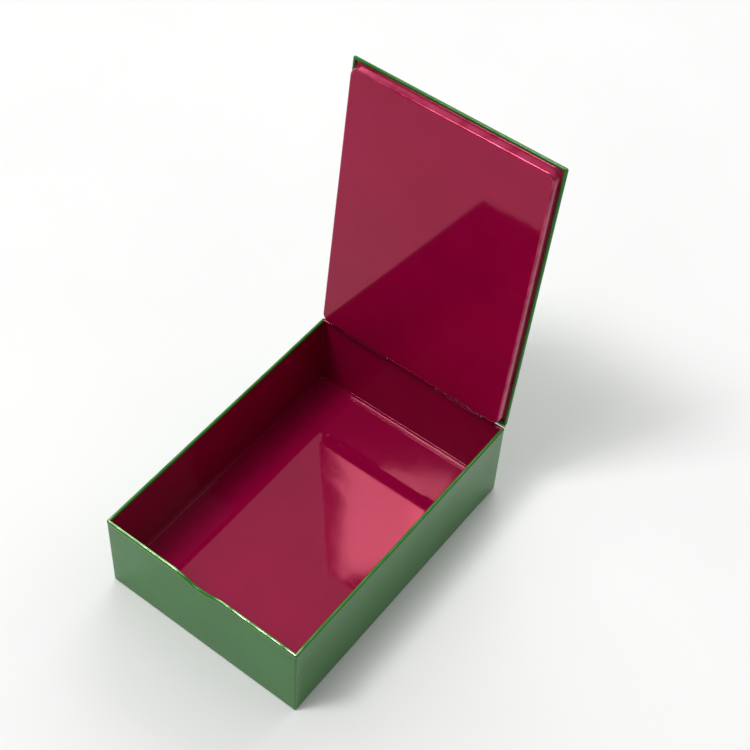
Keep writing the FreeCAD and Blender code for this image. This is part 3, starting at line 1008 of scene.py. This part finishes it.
@dataclass(frozen=True)
class BodyShell(Piece):
    """The four walls, with the rolled rim, the curled foot and the three hinge knuckles.

    Attributes:
        window_margin: How far the rim is cut away below and beside each knuckle.
        rear_margin: How near the rear wall a strip of rim lies to take the crimson as painted shade.
        foot_steps: Chords in the curl at the foot's tip.
        curl_steps: Chords in each face of the rim's curl and the knuckles.
        front_margin: How far from a corner the front's stations stop.
        front_stations: How many lie on each side of the finger dip.
        dip_stations: How many lie in it.
        side_margin: How far from a corner the sides' stations stop.
        side_stations: How many lie on each side.
        above_foot: The heights of the wall's first rows.
        plain_wall: The lowest and highest of the rows between those and the dip's.
        plain_rows: How many there are.
        bend_low: The height where the dip begins to bend the wall.
        bend_rows: The wall's rows from there up.
        bend_margin: How far below the curl's centre the wall bends in full.
        crown: The share of the curl's height where its scuffs and painted highlight begin.
        shoulder: Where the painted highlight on the front's two shoulders begins and is full, along X.
        shoulder_wear_and_highlight: How strong the painted highlight and scuffing on them are.
        rim_wear_and_highlight: How much scuffing and painted highlight the rest of the rim has.
    """

    name = "tin_body"
    node = "body_shell"
    body = Body.BASE
    slot = "body_tinplate"

    window_margin: float = 0.25
    rear_margin: float = 0.02
    foot_steps: int = 10
    curl_steps: int = 22
    front_margin: float = 2.5
    front_stations: int = 12
    dip_stations: int = 49
    side_margin: float = 2.0
    side_stations: int = 24
    above_foot: tuple[float, float] = (1.5, 2.2)
    plain_wall: tuple[float, float] = (4.0, 32.0)
    plain_rows: int = 6
    bend_low: float = 34.0
    bend_rows: int = 10
    bend_margin: float = 1.6
    crown: float = 0.91
    shoulder: tuple[float, float] = (7.0, 11.0)
    shoulder_wear_and_highlight: float = 3.0
    rim_wear_and_highlight: float = 0.25

    @property
    def window_low(self) -> float:
        """The height of the knuckle windows' lower edges."""
        return self.tin.height - 2 * self.tin.rim_curl - self.window_margin

    def knuckles(self) -> tuple[tuple[float, float], ...]:
        """The three knuckles' places along X.

        Returns:
            Where each starts and ends, from right to left.
        """
        middle = self.tin.middle_knuckle / 2
        start, stop = self.tin.end_knuckle_start, self.tin.hinge_end
        return (start, stop), (-middle, middle), (-stop, -start)

    def gaps(self) -> list[tuple[float, float]]:
        """The lengths of rear rim cut away for the knuckles, from right to left."""
        margin = self.window_margin
        return [(start - margin, stop + margin) for start, stop in self.knuckles()]

    def ring(self) -> Ring:
        """The rim's outline, with close stations in the finger dip and at the knuckle windows.

        Returns:
            The outline.
        """
        tin = self.tin
        outer = evenly(tin.dip_half_width, tin.half_width - self.front_margin, self.front_stations)
        dip = np.linspace(-tin.dip_half_width, tin.dip_half_width, self.dip_stations)
        front = (*(-x for x in reversed(outer)), *dip.tolist(), *outer)
        rear = tuple(sorted(x for gap in self.gaps() for x in gap))
        sides = stations(tin.half_length, self.side_margin, self.side_stations)
        return Ring(tin.half_width, tin.half_length, tin.corner_bend + tin.rim_bulge, front, rear, sides)

    def wall_heights(self) -> np.ndarray:
        """Rows up the wall, closer together where the dip bends it.

        Returns:
            Their heights.
        """
        plain = np.linspace(*self.plain_wall, self.plain_rows)
        bent = np.linspace(self.bend_low, self.window_low, self.bend_rows)
        return np.concatenate([self.above_foot, plain, bent])

    def low_profile(self, ring: Ring) -> tuple[np.ndarray, np.ndarray]:
        """The wall from its curled foot to the bottom of the knuckle windows.

        Args:
            ring: The rim's outline.

        Returns:
            Rows of inset and height from the foot's tip up the outer face and down the inner,
            and the side that each face between them lies on.
        """
        tin = self.tin
        bend = tin.rim_bulge + tin.foot_curl
        outer_foot, inner_foot = (
            hook(bend, bend + tin.foot_land, tin.foot_curl, radius, tin.foot_curl_end, self.foot_steps)
            for radius in (tin.foot_curl, tin.foot_curl - tin.plate)
        )
        up = self.wall_heights()
        outer = np.vstack([outer_foot[::-1], line(tin.rim_bulge, up)])
        inner = np.vstack([line(tin.rim_bulge + tin.plate, up[::-1]), inner_foot])
        top = len(outer) - 1
        sides = np.full((len(outer) + len(inner), len(ring.at(0.0))), Side.INNER, dtype=int)
        sides[:top] = Side.OUTER
        sides[top] = Side.NONE
        for low, high in self.gaps():
            sides[top, ring.run(high, low)[:-1]] = Side.CUT
        sides[-1] = Side.CUT
        return np.vstack([outer, inner]), sides

    def rim_profile(self) -> tuple[np.ndarray, np.ndarray, np.ndarray]:
        """The wall above the windows and its inward curl.

        Returns:
            Rows of inset and height up the outer face, round the curl and back down the inner,
            the side of each strip between them, and each row's scuffing and painted highlight.
        """
        tin = self.tin
        centre = (tin.rim_curl, tin.rim_centre)
        inner_radius = tin.rim_curl - tin.plate
        outer_start, inner_start = (
            180 + math.degrees(math.acos((radius - tin.rim_bulge) / radius))
            for radius in (tin.rim_curl, inner_radius)
        )
        outer = arc(centre, tin.rim_curl, outer_start, -tin.rim_curl_end, self.curl_steps)
        inner = arc(centre, inner_radius, -tin.rim_curl_end, inner_start, self.curl_steps)
        foot = [tin.rim_bulge, self.window_low]
        back = [tin.rim_bulge + tin.plate, self.window_low]
        rows = np.vstack([foot, outer, inner, back])
        sides = strips((len(outer), Side.OUTER), (1, Side.CUT), (len(inner), Side.INNER), (1, Side.NONE))
        wear_and_highlight = np.zeros(len(rows))
        height = (outer[:, 1] - tin.rim_centre) / tin.rim_curl
        wear_and_highlight[1 : len(outer) + 1] = np.clip((height - self.crown) / (1 - self.crown), 0, 1)
        return rows, sides, wear_and_highlight

    def dip(self, grid: np.ndarray) -> np.ndarray:
        """Bend the front rim down into the finger dip.

        The curl's centre line is two shoulders and a valley of one radius, tangent where they
        meet. A point above the wall's bend keeps its distance from that line, square to it, and
        the wall below eases back to its own height.

        Args:
            grid: Points of the wall or rim.

        Returns:
            The points in their bent places.
        """
        tin = self.tin
        half = tin.dip_half_width
        x, y, z = grid[..., 0], grid[..., 1], grid[..., 2]
        radius = (half**2 + tin.dip_depth**2) / (4 * tin.dip_depth)
        away = np.clip(np.abs(x), 0, half)
        shoulder = radius - np.sqrt(radius**2 - (half - away) ** 2)
        valley = tin.dip_depth - (radius - np.sqrt(radius**2 - away**2))
        drop = np.where(away > half / 2, shoulder, valley)
        lean = np.where(away > half / 2, half - away, away) / radius
        slope = np.arcsin(lean) * np.sign(x)
        above = z - tin.rim_centre
        eased = smooth_step((z - self.bend_low) / (tin.rim_centre - self.bend_margin - self.bend_low))
        share = eased * (y < 0) * (np.abs(x) < half)
        bent = grid.copy()
        bent[..., 0] = x - share * above * np.sin(slope)
        bent[..., 2] = z - share * drop - share * above * (1 - np.cos(slope))
        return bent

    def crown_wear_and_highlight(self, grid: np.ndarray) -> np.ndarray:
        """How much scuffing and painted highlight the rim's crown has: most on the front's two shoulders.

        Args:
            grid: Points of the rim.

        Returns:
            The scuffing and painted highlight of each point.
        """
        start, full = self.shoulder
        at_front = grid[..., 1] < -(self.tin.half_length - self.side_margin)
        shoulder = smooth_step((np.abs(grid[..., 0]) - start) / (full - start))
        return np.where(at_front, self.shoulder_wear_and_highlight * shoulder, self.rim_wear_and_highlight)

    def draw(self) -> None:
        """The lower wall all round, the rim between the windows, and the knuckles."""
        ring = self.ring()
        rows, sides = self.low_profile(ring)
        self.sheet.add_grid(self.dip(ring.sweep(rows)), sides)
        rows, sides, wear_and_highlight = self.rim_profile()
        right, middle, left = self.gaps()
        # The rear rim's outer face takes the crimson in place of the green: painted shade for the dark hinge
        # gap.
        painted_shade_sides = np.where(sides == Side.OUTER, Side.INNER, sides)
        for start, stop in ((left[0], right[1]), (right[0], middle[1]), (middle[0], left[1])):
            grid = self.dip(ring.sweep(rows, ring.run(start, stop)))
            at_rear = grid[0, :-1, 1] + grid[0, 1:, 1] > 2 * (self.tin.wall_y - self.rear_margin)
            faces = np.where(at_rear, painted_shade_sides[:, None], sides[:, None])
            # The crown's pale colour is a painted highlight line, strongest on the front's shoulders and
            # absent in the dip.
            worn_highlight = wear_and_highlight[:, None] * self.crown_wear_and_highlight(grid)
            index = self.sheet.add_grid(grid, faces, closed_columns=False, wear_and_highlight=worn_highlight)
            self.sheet.close_ends(index, Side.INNER)
        for start, stop in self.knuckles():
            self.add_knuckle(start, stop)

    def add_knuckle(self, start: float, stop: float) -> None:
        """Carry the rear wall up, and back round the hinge wire.

        Args:
            start: Where the knuckle starts along X.
            stop: Where it ends.
        """
        tin = self.tin
        centre = (tin.axis_y, tin.axis_z)
        inner_face = arc(centre, tin.grip_radius + tin.plate, 180, -tin.body_knuckle_end, self.curl_steps)
        outer_face = arc(centre, tin.grip_radius, -tin.body_knuckle_end, 180, self.curl_steps)
        foot = [tin.wall_y - tin.plate, self.window_low]
        back = [tin.wall_y, self.window_low]
        loop = np.vstack([foot, inner_face, outer_face, back])
        sides = strips((len(inner_face), Side.INNER), (1, Side.CUT), (len(outer_face) + 1, Side.OUTER))
        self.sheet.add_extrusion(loop, sides, start, stop)


@dataclass(frozen=True)
class BottomPlate(Piece):
    """The bottom: a stepped floor with a lip up the wall and its edge clinched in the foot's curl.

    Attributes:
        step_start: How far from the plate's edge the step up to the land ends.
        step_drop: How far the floor lies below the land.
        step_slope: The step's slope in degrees.
        step_bend: The radius of its two bends.
        lip_bend: The radius between the land and the lip.
        lip_height: How high the lip stands above the land.
        lip_edge: The radius of the lip's top.
        lip_steps: Chords in the radius between the land and the lip.
        edge_steps: Chords in the lip's top.
        clinch_end: The angle at which the clinched edge ends, in degrees.
        margin: How far from a corner the stations stop.
        across: How many lie along the front and the rear.
        along: How many lie along each side.
    """

    name = "tin_bottom"
    node = "bottom_plate"
    body = Body.BASE
    slot = "bottom_tinplate"
    surfaces = (Surface.GREEN, Surface.CRIMSON)

    step_start: float = 1.5
    step_drop: float = 0.55
    step_slope: float = 55.0
    step_bend: float = 0.13
    lip_bend: float = 0.5
    lip_height: float = 1.5
    lip_edge: float = 0.2
    lip_steps: int = 12
    edge_steps: int = 6
    clinch_end: float = -10.0
    margin: float = 3.0
    across: int = 16
    along: int = 24

    def ring(self) -> Ring:
        """The plate's outline, a seam's gap inside the wall.

        Returns:
            The outline.
        """
        tin = self.tin
        edge = tin.rim_bulge + tin.plate + tin.seam_gap
        across = stations(tin.half_width, self.margin, self.across)
        along = stations(tin.half_length, self.margin, self.along)
        return Ring(tin.half_width - edge, tin.half_length - edge, tin.bottom_corner, across, across, along)

    def step_rows(self) -> np.ndarray:
        """The step from the floor up to the land: a hollow bend, a slope and a full bend.

        Returns:
            Rows of inset and height.
        """
        land = self.tin.floor_top
        slope = math.radians(self.step_slope)
        bend = self.step_bend
        run = (self.step_drop - 2 * bend * (1 - math.cos(slope))) / math.tan(slope)
        foot = self.step_start + 2 * bend * math.sin(slope) + run
        hollow = arc((foot, land - self.step_drop + bend), bend, 270, 270 - self.step_slope, BEND_STEPS)
        full = arc((self.step_start, land - bend), bend, 90 - self.step_slope, 90, BEND_STEPS)
        return np.vstack([hollow, full])

    def top_rows(self) -> np.ndarray:
        """The top face from the step's foot, over the land, to the lip's top.

        Returns:
            Rows of inset and height.
        """
        land = self.tin.floor_top
        wall = self.tin.plate + self.lip_bend
        fillet = arc((wall, land + self.lip_bend), self.lip_bend, 270, 180, self.lip_steps)
        centre = (self.tin.plate - self.lip_edge, land + self.lip_height - self.lip_edge)
        rounded = arc(centre, self.lip_edge, 0, 90, self.edge_steps)
        ledge = [[self.step_start - CLOSE_ROW, land], [wall + CLOSE_ROW, land]]
        return np.vstack([self.step_rows(), ledge, fillet, rounded])

    def clinch_rows(self) -> np.ndarray:
        """The edge down the wall, round inside the foot's curl and back along its inner face.

        Returns:
            Rows of inset and height.
        """
        tin = self.tin
        outside = tin.foot_curl - tin.plate - tin.seam_gap
        faces = [
            hook(outside, outside + tin.foot_land, tin.foot_curl, radius, self.clinch_end, BEND_STEPS)
            for radius in (outside, outside - tin.plate)
        ]
        edge = [[0.0, tin.floor_top + self.lip_height]]
        return np.vstack([edge, faces[0], faces[1][::-1]])

    def draw(self) -> None:
        """The floor from its middle, its step, land and lip, the clinched edge, and back below."""
        tin = self.tin
        land = tin.floor_top
        floor = land - self.step_drop
        top = self.top_rows()
        panel = face_rows(top[0, 0], floor)
        under = land - tin.plate
        ledge = [[tin.plate, under, 0.0], [self.step_start, under, 0.0]]
        below = panel_rows(top[0, 0] + FLAT_MARGIN, floor - tin.plate, inwards=True)
        edge = with_share(np.vstack([top, self.clinch_rows()]))
        profile = np.vstack([panel, edge, ledge, below])
        inside = len(panel) + len(top)
        sides = strips((inside, Side.INNER), (len(profile) - 1 - inside, Side.OUTER))
        self.sheet.add_grid(self.ring().sweep(profile), sides, closed_rows=False)


@dataclass(frozen=True)
class HingeWire(Piece):
    """The straight wire that the lid turns on, with cropped ends.

    Attributes:
        around: Chords round the wire.
        end_ring: The share of the flat end's radius at which it has a ring of points.
    """

    name = "hinge_pin"
    node = "hinge_wire"
    body = Body.BASE
    slot = "steel_wire"
    surfaces = (Surface.STEEL,)

    around: int = 32
    end_ring: float = 0.6

    def draw(self) -> None:
        """Turn an outline of place along X and radius about the wire's axis."""
        tin = self.tin
        end = tin.half_width - tin.wire_inset
        crop = tin.wire_chamfer
        flat = tin.wire_radius - crop
        half = np.array([[end, 0.0], [end, flat * self.end_ring], [end, flat], [end - crop, tin.wire_radius]])
        x, radius = np.vstack([half * (-1, 1), half[::-1]]).T[..., None]
        turn = np.linspace(0, 2 * math.pi, self.around + 1)[:-1]
        back = tin.axis_y + radius * np.cos(turn)
        up = tin.axis_z + radius * np.sin(turn)
        grid = np.stack([np.broadcast_to(x, back.shape), back, up], axis=-1)
        self.sheet.add_grid(grid, Side.OUTER, closed_rows=False)


@dataclass(frozen=True)
class LidSheet(Piece):
    """A sheet of the lid, drawn shut about the hinge wire's axis."""

    body = Body.LID

    def outline(
        self,
        inset: float,
        rear: float,
        radius: float,
        margins: tuple[float, float],
        counts: tuple[int, int],
        ends: tuple[float, ...] = (),
        steps: int = BEND_STEPS,
    ) -> Ring:
        """An outline of the lid, inset on three sides, with its rear where it is told.

        Args:
            inset: How far inside the lid's front and sides it lies.
            rear: How far back its rear lies.
            radius: Its corner radius.
            margins: How far from a corner the stations stop, across and along.
            counts: How many stations lie across and along.
            ends: The rear's stations, where they differ from the front's.
            steps: Chords in each corner.

        Returns:
            The outline.
        """
        tin = self.tin
        front = tin.lid_front + inset
        half_y = (rear - front) / 2
        across = stations(tin.half_width, margins[0], counts[0])
        along = stations(half_y, margins[1], counts[1])
        centre_y = (rear + front) / 2
        return Ring(tin.half_width - inset, half_y, radius, across, ends or across, along, centre_y, steps)


@dataclass(frozen=True)
class LidCover(LidSheet):
    """The flat lid: a panel, the hem curled under round it, and the two knuckles on the wire.

    Attributes:
        panel_corner: The panel's corner radius inside the hem.
        hem_steps: Chords in each face of the hem and the knuckles.
        hem_wear: How much the hem's edge is scuffed.
        root_overlap: How far a knuckle's root reaches into the panel.
        margins: How far from a corner the stations stop, across and along.
        counts: How many stations lie across and along.
    """

    name = "lid_panel"
    node = "lid_cover"
    slot = "lid_tinplate"

    panel_corner: float = 0.2
    hem_steps: int = 26
    hem_wear: float = 0.06
    root_overlap: float = 0.01
    margins: tuple[float, float] = (4.0, 3.0)
    counts: tuple[int, int] = (16, 24)

    def draw(self) -> None:
        """The panel, the hem and a knuckle on each side."""
        self.add_panel()
        self.add_hem()
        near = self.tin.middle_knuckle / 2 + self.tin.knuckle_gap
        far = self.tin.end_knuckle_start - self.tin.knuckle_gap
        self.add_knuckle(near, far)
        self.add_knuckle(-far, -near)

    def add_panel(self) -> None:
        """The flat middle, a plate thick, whose open edge meets the hem."""
        tin = self.tin
        rear = tin.lid_rear - tin.hem_curl
        ring = self.outline(tin.hem_curl, rear, self.panel_corner, self.margins, self.counts)
        outer = panel_rows(0.0, tin.lid_top)
        inner = panel_rows(0.0, tin.lid_top - tin.plate, inwards=True)
        sides = strips((len(outer), Side.OUTER), (len(inner) - 1, Side.INNER))
        self.sheet.add_grid(ring.sweep(np.vstack([outer, inner])), sides, closed_rows=False)

    def add_hem(self) -> None:
        """Curl the panel's edge under on its sides and front, and at both ends of the rear."""
        tin = self.tin
        half = tin.hinge_end + tin.knuckle_gap
        ring = self.outline(0.0, tin.lid_rear, tin.lid_corner, self.margins, self.counts, (-half, half))
        height = tin.lid_top - tin.hem_curl
        under = tin.lid_top - 2 * tin.plate
        end = -180 - math.degrees(math.asin((under - tin.seam_gap - height) / tin.hem_curl))
        outer = arc((0, height), tin.hem_curl, 90, end, self.hem_steps)
        inner = arc((0, height), tin.hem_curl - tin.plate, end, 90, self.hem_steps)
        rows = np.vstack([outer, inner])
        rows[:, 0] = tin.hem_curl - rows[:, 0]
        sides = strips((len(outer) - 1, Side.OUTER), (1, Side.CUT), (len(inner), Side.INNER))
        wear_and_highlight = np.zeros(len(rows))
        from_edge = np.abs(rows[: len(outer), 0]) / tin.hem_curl
        wear_and_highlight[: len(outer)] = self.hem_wear * np.clip(1.0 - from_edge, 0, 1)
        grid = ring.sweep(rows, ring.run(-half, half))
        self.sheet.close_ends(self.sheet.add_grid(grid, sides, closed_columns=False, wear_and_highlight=wear_and_highlight), Side.CUT)

    def add_knuckle(self, start: float, stop: float) -> None:
        """Carry the panel back and down round the wire.

        Args:
            start: Where the knuckle starts along X.
            stop: Where it ends.
        """
        tin = self.tin
        root = tin.lid_rear - tin.hem_curl - self.root_overlap
        outer = arc((0, 0), tin.lid_top, 90, -tin.lid_knuckle_end, self.hem_steps)
        inner = arc((0, 0), tin.running_radius, -tin.lid_knuckle_end, 90, self.hem_steps)
        loop = np.vstack([[root, tin.lid_top], outer, inner, [root, tin.lid_top - tin.plate]])
        # Both faces of the knuckle take the crimson: painted shade for the dark hinge gap.
        self.sheet.add_extrusion(loop, strips((len(loop), Side.INNER)), start, stop)


@dataclass(frozen=True)
class LidLiner(LidSheet):
    """The plug: a shallow drawn tray with rounded corners, on its flat flange.

    Attributes:
        flange_corner: The flange's corner radius.
        flange_margins: How far from a corner its stations stop, across and along.
        flange_counts: How many lie across and along.
        plug_margins: How far from a corner the plug's stations stop.
        plug_counts: How many lie across and along.
        corner_steps: Chords in each of its corners.
        root_bend: The radius between its side and the flange.
        draft: How far its side leans, in degrees.
        bend_steps: Chords in its edge bend.
        root_steps: Chords in its root.
        side_highlight: How strong the painted highlight on its side and root is.
    """

    name = "lid_plug"
    node = "lid_liner"
    slot = "liner_tinplate"
    surfaces = (Surface.LIGHTER_LINER,)

    flange_corner: float = 0.1
    flange_margins: tuple[float, float] = (4.0, 3.0)
    flange_counts: tuple[int, int] = (8, 8)
    plug_margins: tuple[float, float] = (8.0, 6.0)
    plug_counts: tuple[int, int] = (16, 24)
    corner_steps: int = 16
    root_bend: float = 1.5
    draft: float = 7.0
    bend_steps: int = 14
    root_steps: int = 16
    side_highlight: float = 0.6

    def draw(self) -> None:
        """The flange, and the plug that stands on it."""
        self.add_flange()
        self.add_plug()

    def add_flange(self) -> None:
        """The flat sheet between the panel and its hem."""
        tin = self.tin
        gap = tin.hem_curl + tin.seam_gap
        ring = self.outline(
            gap, tin.lid_rear - gap, self.flange_corner, self.flange_margins, self.flange_counts
        )
        top = tin.lid_top - tin.plate
        under = top - tin.plate
        rows = np.array([[0, top, 1.0], [0, top, 0.0], [0, under, 0.0], [0, under, 1.0]])
        self.sheet.add_grid(ring.sweep(rows), Side.OUTER, closed_rows=False)

    def add_plug(self) -> None:
        """From the middle of the face, over its edge bend, down the side to the flange."""
        tin = self.tin
        bend = tin.plug_bend
        face = tin.lid_top - 2 * tin.hem_curl - tin.plug_depth
        under = tin.lid_top - 2 * tin.plate
        slope = math.radians(self.draft)
        rise = under - self.root_bend - face - bend
        foot = bend - (self.root_bend + bend + rise * math.sin(slope)) / math.cos(slope)
        panel = face_rows(bend, face)
        turn = arc((bend, face + bend), bend, 270, 180 + self.draft, self.bend_steps)
        root = arc((foot, under - self.root_bend), self.root_bend, self.draft, 90, self.root_steps)
        inside = under + tin.plate / 2
        cap = [[foot, inside, 0.0], [foot, inside, 1.0]]
        profile = np.vstack([panel, with_share(np.vstack([turn, root])), cap])
        # The bend is scuffed thin and painted bright, and the side and root carry a painted highlight.
        turn_wear_and_highlight = np.sin(np.linspace(0, math.pi, len(turn)))
        turn_wear_and_highlight[len(turn) // 2 :] = np.maximum(turn_wear_and_highlight[len(turn) // 2 :], self.side_highlight)
        root_highlight = np.linspace(self.side_highlight, 0, len(root))
        wear_and_highlight = np.concatenate([np.zeros(len(panel)), turn_wear_and_highlight, root_highlight, np.zeros(len(cap))])
        rear = -(tin.axis_behind + tin.plug_inset)
        ring = self.outline(
            tin.plug_inset,
            rear,
            tin.plug_corner,
            self.plug_margins,
            self.plug_counts,
            steps=self.corner_steps,
        )
        self.sheet.add_grid(ring.sweep(profile), Side.OUTER, closed_rows=False, wear_and_highlight=wear_and_highlight)


# ---------------------------------------------------------------- studio


@dataclass(frozen=True)
class CameraPlace:
    """Where the camera stands, from its turn about the tin and the point it looks past.

    Attributes:
        azimuth: Turn from the front towards the right, in degrees.
        elevation: Height angle in degrees.
        roll: Turn about its own axis in degrees.
        target: The point on its axis, in millimetres.
        distance: From that point, in millimetres.
        frame_width: The frame's width in pixels.
        focal: Focal length in pixels.
        centre: Where its axis meets the frame, in pixels from the left and top.
        sensor: The sensor's width in millimetres.
        clip: The nearest and farthest that it sees, in metres.
    """

    azimuth: float = 35.456
    elevation: float = 50.235
    roll: float = 3.106
    target: tuple[float, float, float] = (-37.671, 76.195, 20.0)
    distance: float = 742.607
    frame_width: int = 750
    focal: float = 1632.981
    centre: tuple[float, float] = (350.266, 354.864)
    sensor: float = 36.0
    clip: tuple[float, float] = (0.01, 20.0)

    def build(self) -> bpy.types.Object:
        """Make the camera and let the scene look through it.

        Returns:
            The camera.
        """
        turn, rise, roll = map(math.radians, (self.azimuth, self.elevation, self.roll))
        back = Vector((math.sin(turn) * math.cos(rise), -math.cos(turn) * math.cos(rise), math.sin(rise)))
        level = Vector((0, 0, 1)).cross(back).normalized()
        up = back.cross(level)
        across = level * math.cos(roll) + up * math.sin(roll)
        upwards = up * math.cos(roll) - level * math.sin(roll)
        data = bpy.data.cameras.new("camera")
        data.sensor_width = self.sensor
        data.lens = self.focal / self.frame_width * self.sensor
        data.shift_x = 0.5 - self.centre[0] / self.frame_width
        data.shift_y = self.centre[1] / self.frame_width - 0.5
        data.clip_start, data.clip_end = self.clip
        camera = link(bpy.data.objects.new("camera", data))
        place = Matrix((across, upwards, back)).transposed().to_4x4()
        place.translation = (Vector(self.target) + back * self.distance) * MM
        camera.matrix_world = place
        bpy.context.scene.camera = camera
        return camera


@dataclass(frozen=True)
class SoftBox:
    """A white rectangular light that faces the tin.

    Attributes:
        name: The light's name.
        azimuth: Turn from the front towards the left, in degrees.
        elevation: Height angle in degrees.
        distance: From the tin, in metres.
        spread: The angles it fills across and up, in degrees.
        radiance: How bright its face looks.
    """

    name: str
    azimuth: float
    elevation: float
    distance: float
    spread: tuple[float, float]
    radiance: float

    def build(self) -> bpy.types.Object:
        """Hang the light.

        Returns:
            The light.
        """
        turn, rise = math.radians(self.azimuth), math.radians(self.elevation)
        flat = -self.distance * math.cos(rise)
        place = Vector((flat * math.sin(turn), flat * math.cos(turn), self.distance * math.sin(rise)))
        data = bpy.data.lights.new(self.name, "AREA")
        data.shape = "RECTANGLE"
        across, up = (2 * self.distance * math.tan(math.radians(angle / 2)) for angle in self.spread)
        data.size, data.size_y = across, up
        data.energy = self.radiance * math.pi * across * up
        light = link(bpy.data.objects.new(self.name, data))
        light.location = place
        light.rotation_euler = (-place).to_track_quat("-Z", "Y").to_euler()
        return light


@dataclass(frozen=True)
class Studio:
    """The pale sweep, the plain lights and the camera.

    Attributes:
        materials: The built finishes.
        reach: How far the sweep goes each way, in metres.
        squares: How many squares it has each way.
        lights: The soft lights.
        bright_side: The direction of the sky's brightest point.
        bright_end: How squarely a direction faces that point where the sky is brightest.
        sky: The sky's strength half a turn from there or less, and at its brightest.
    """

    materials: Materials
    reach: float = 3.0
    squares: int = 12
    lights: tuple[SoftBox, ...] = (
        SoftBox("key", 38.6, 61.8, 3.0, spread=(10.8, 12.6), radiance=27.0),
        SoftBox("key_high", 27.0, 70.0, 3.0, spread=(14.0, 14.0), radiance=10.5),
        SoftBox("rear", 164.0, 34.0, 3.2, spread=(54.0, 28.0), radiance=2.4),
    )
    bright_side: tuple[float, float, float] = (-0.360, 0.400, 0.843)
    bright_end: float = 0.95
    sky: tuple[float, float] = (0.13, 0.75)

    def build(self) -> None:
        """Lay the sweep, light it and set up the camera."""
        self._lay_sweep()
        self._light_world()
        for light in self.lights:
            light.build()
        CameraPlace().build()
        bpy.context.scene.view_settings.view_transform = "Standard"
        log.info("studio: %d lights", len(self.lights))

    def _lay_sweep(self) -> None:
        """Lay a flat square of paper under the tin, facing up."""
        places = np.linspace(-self.reach, self.reach, self.squares + 1)
        x, y = np.meshgrid(places, places, indexing="ij")
        sheet = SheetMesh()
        grid = np.stack([x, y, np.zeros_like(x)], axis=-1) / MM
        sheet.add_grid(grid, Side.OUTER, closed_rows=False, closed_columns=False)
        floor = sheet.write("sweep", [self.materials[Surface.PAPER]])
        if floor.data.polygons[0].normal.z < 0:
            floor.data.flip_normals()

    def _light_world(self) -> None:
        """Light the tin from a sky that brightens towards one side."""
        world = bpy.data.worlds.new("studio")
        world.use_nodes = True
        tree = ShaderTree(world.node_tree)
        towards = tree.add("ShaderNodeTexCoord", {}).outputs["Generated"]
        facing = tree.add("ShaderNodeVectorMath", {0: towards, 1: self.bright_side}, operation="DOT_PRODUCT")
        strength = tree.ramp(facing.outputs["Value"], (0.0, self.bright_end), self.sky)
        background = tree.add("ShaderNodeBackground", {"Color": (1.0, 1.0, 1.0), "Strength": strength})
        tree.add("ShaderNodeOutputWorld", {"Surface": background.outputs["Background"]})
        bpy.context.scene.world = world


# ---------------------------------------------------------------- main


def main() -> None:
    """Dress the tin piece by piece, then set the studio round it."""
    logging.basicConfig(level=logging.INFO, format="%(message)s")
    tin = TinSizes()
    effects = SharedEffects()
    materials = {surface: finish.build(surface.value, effects) for surface, finish in FINISHES.items()}
    for maker in (BodyShell, BottomPlate, HingeWire, LidCover, LidLiner):
        maker(tin, materials).dress()
    Studio(materials).build()


if __name__ == "__main__":
    main()
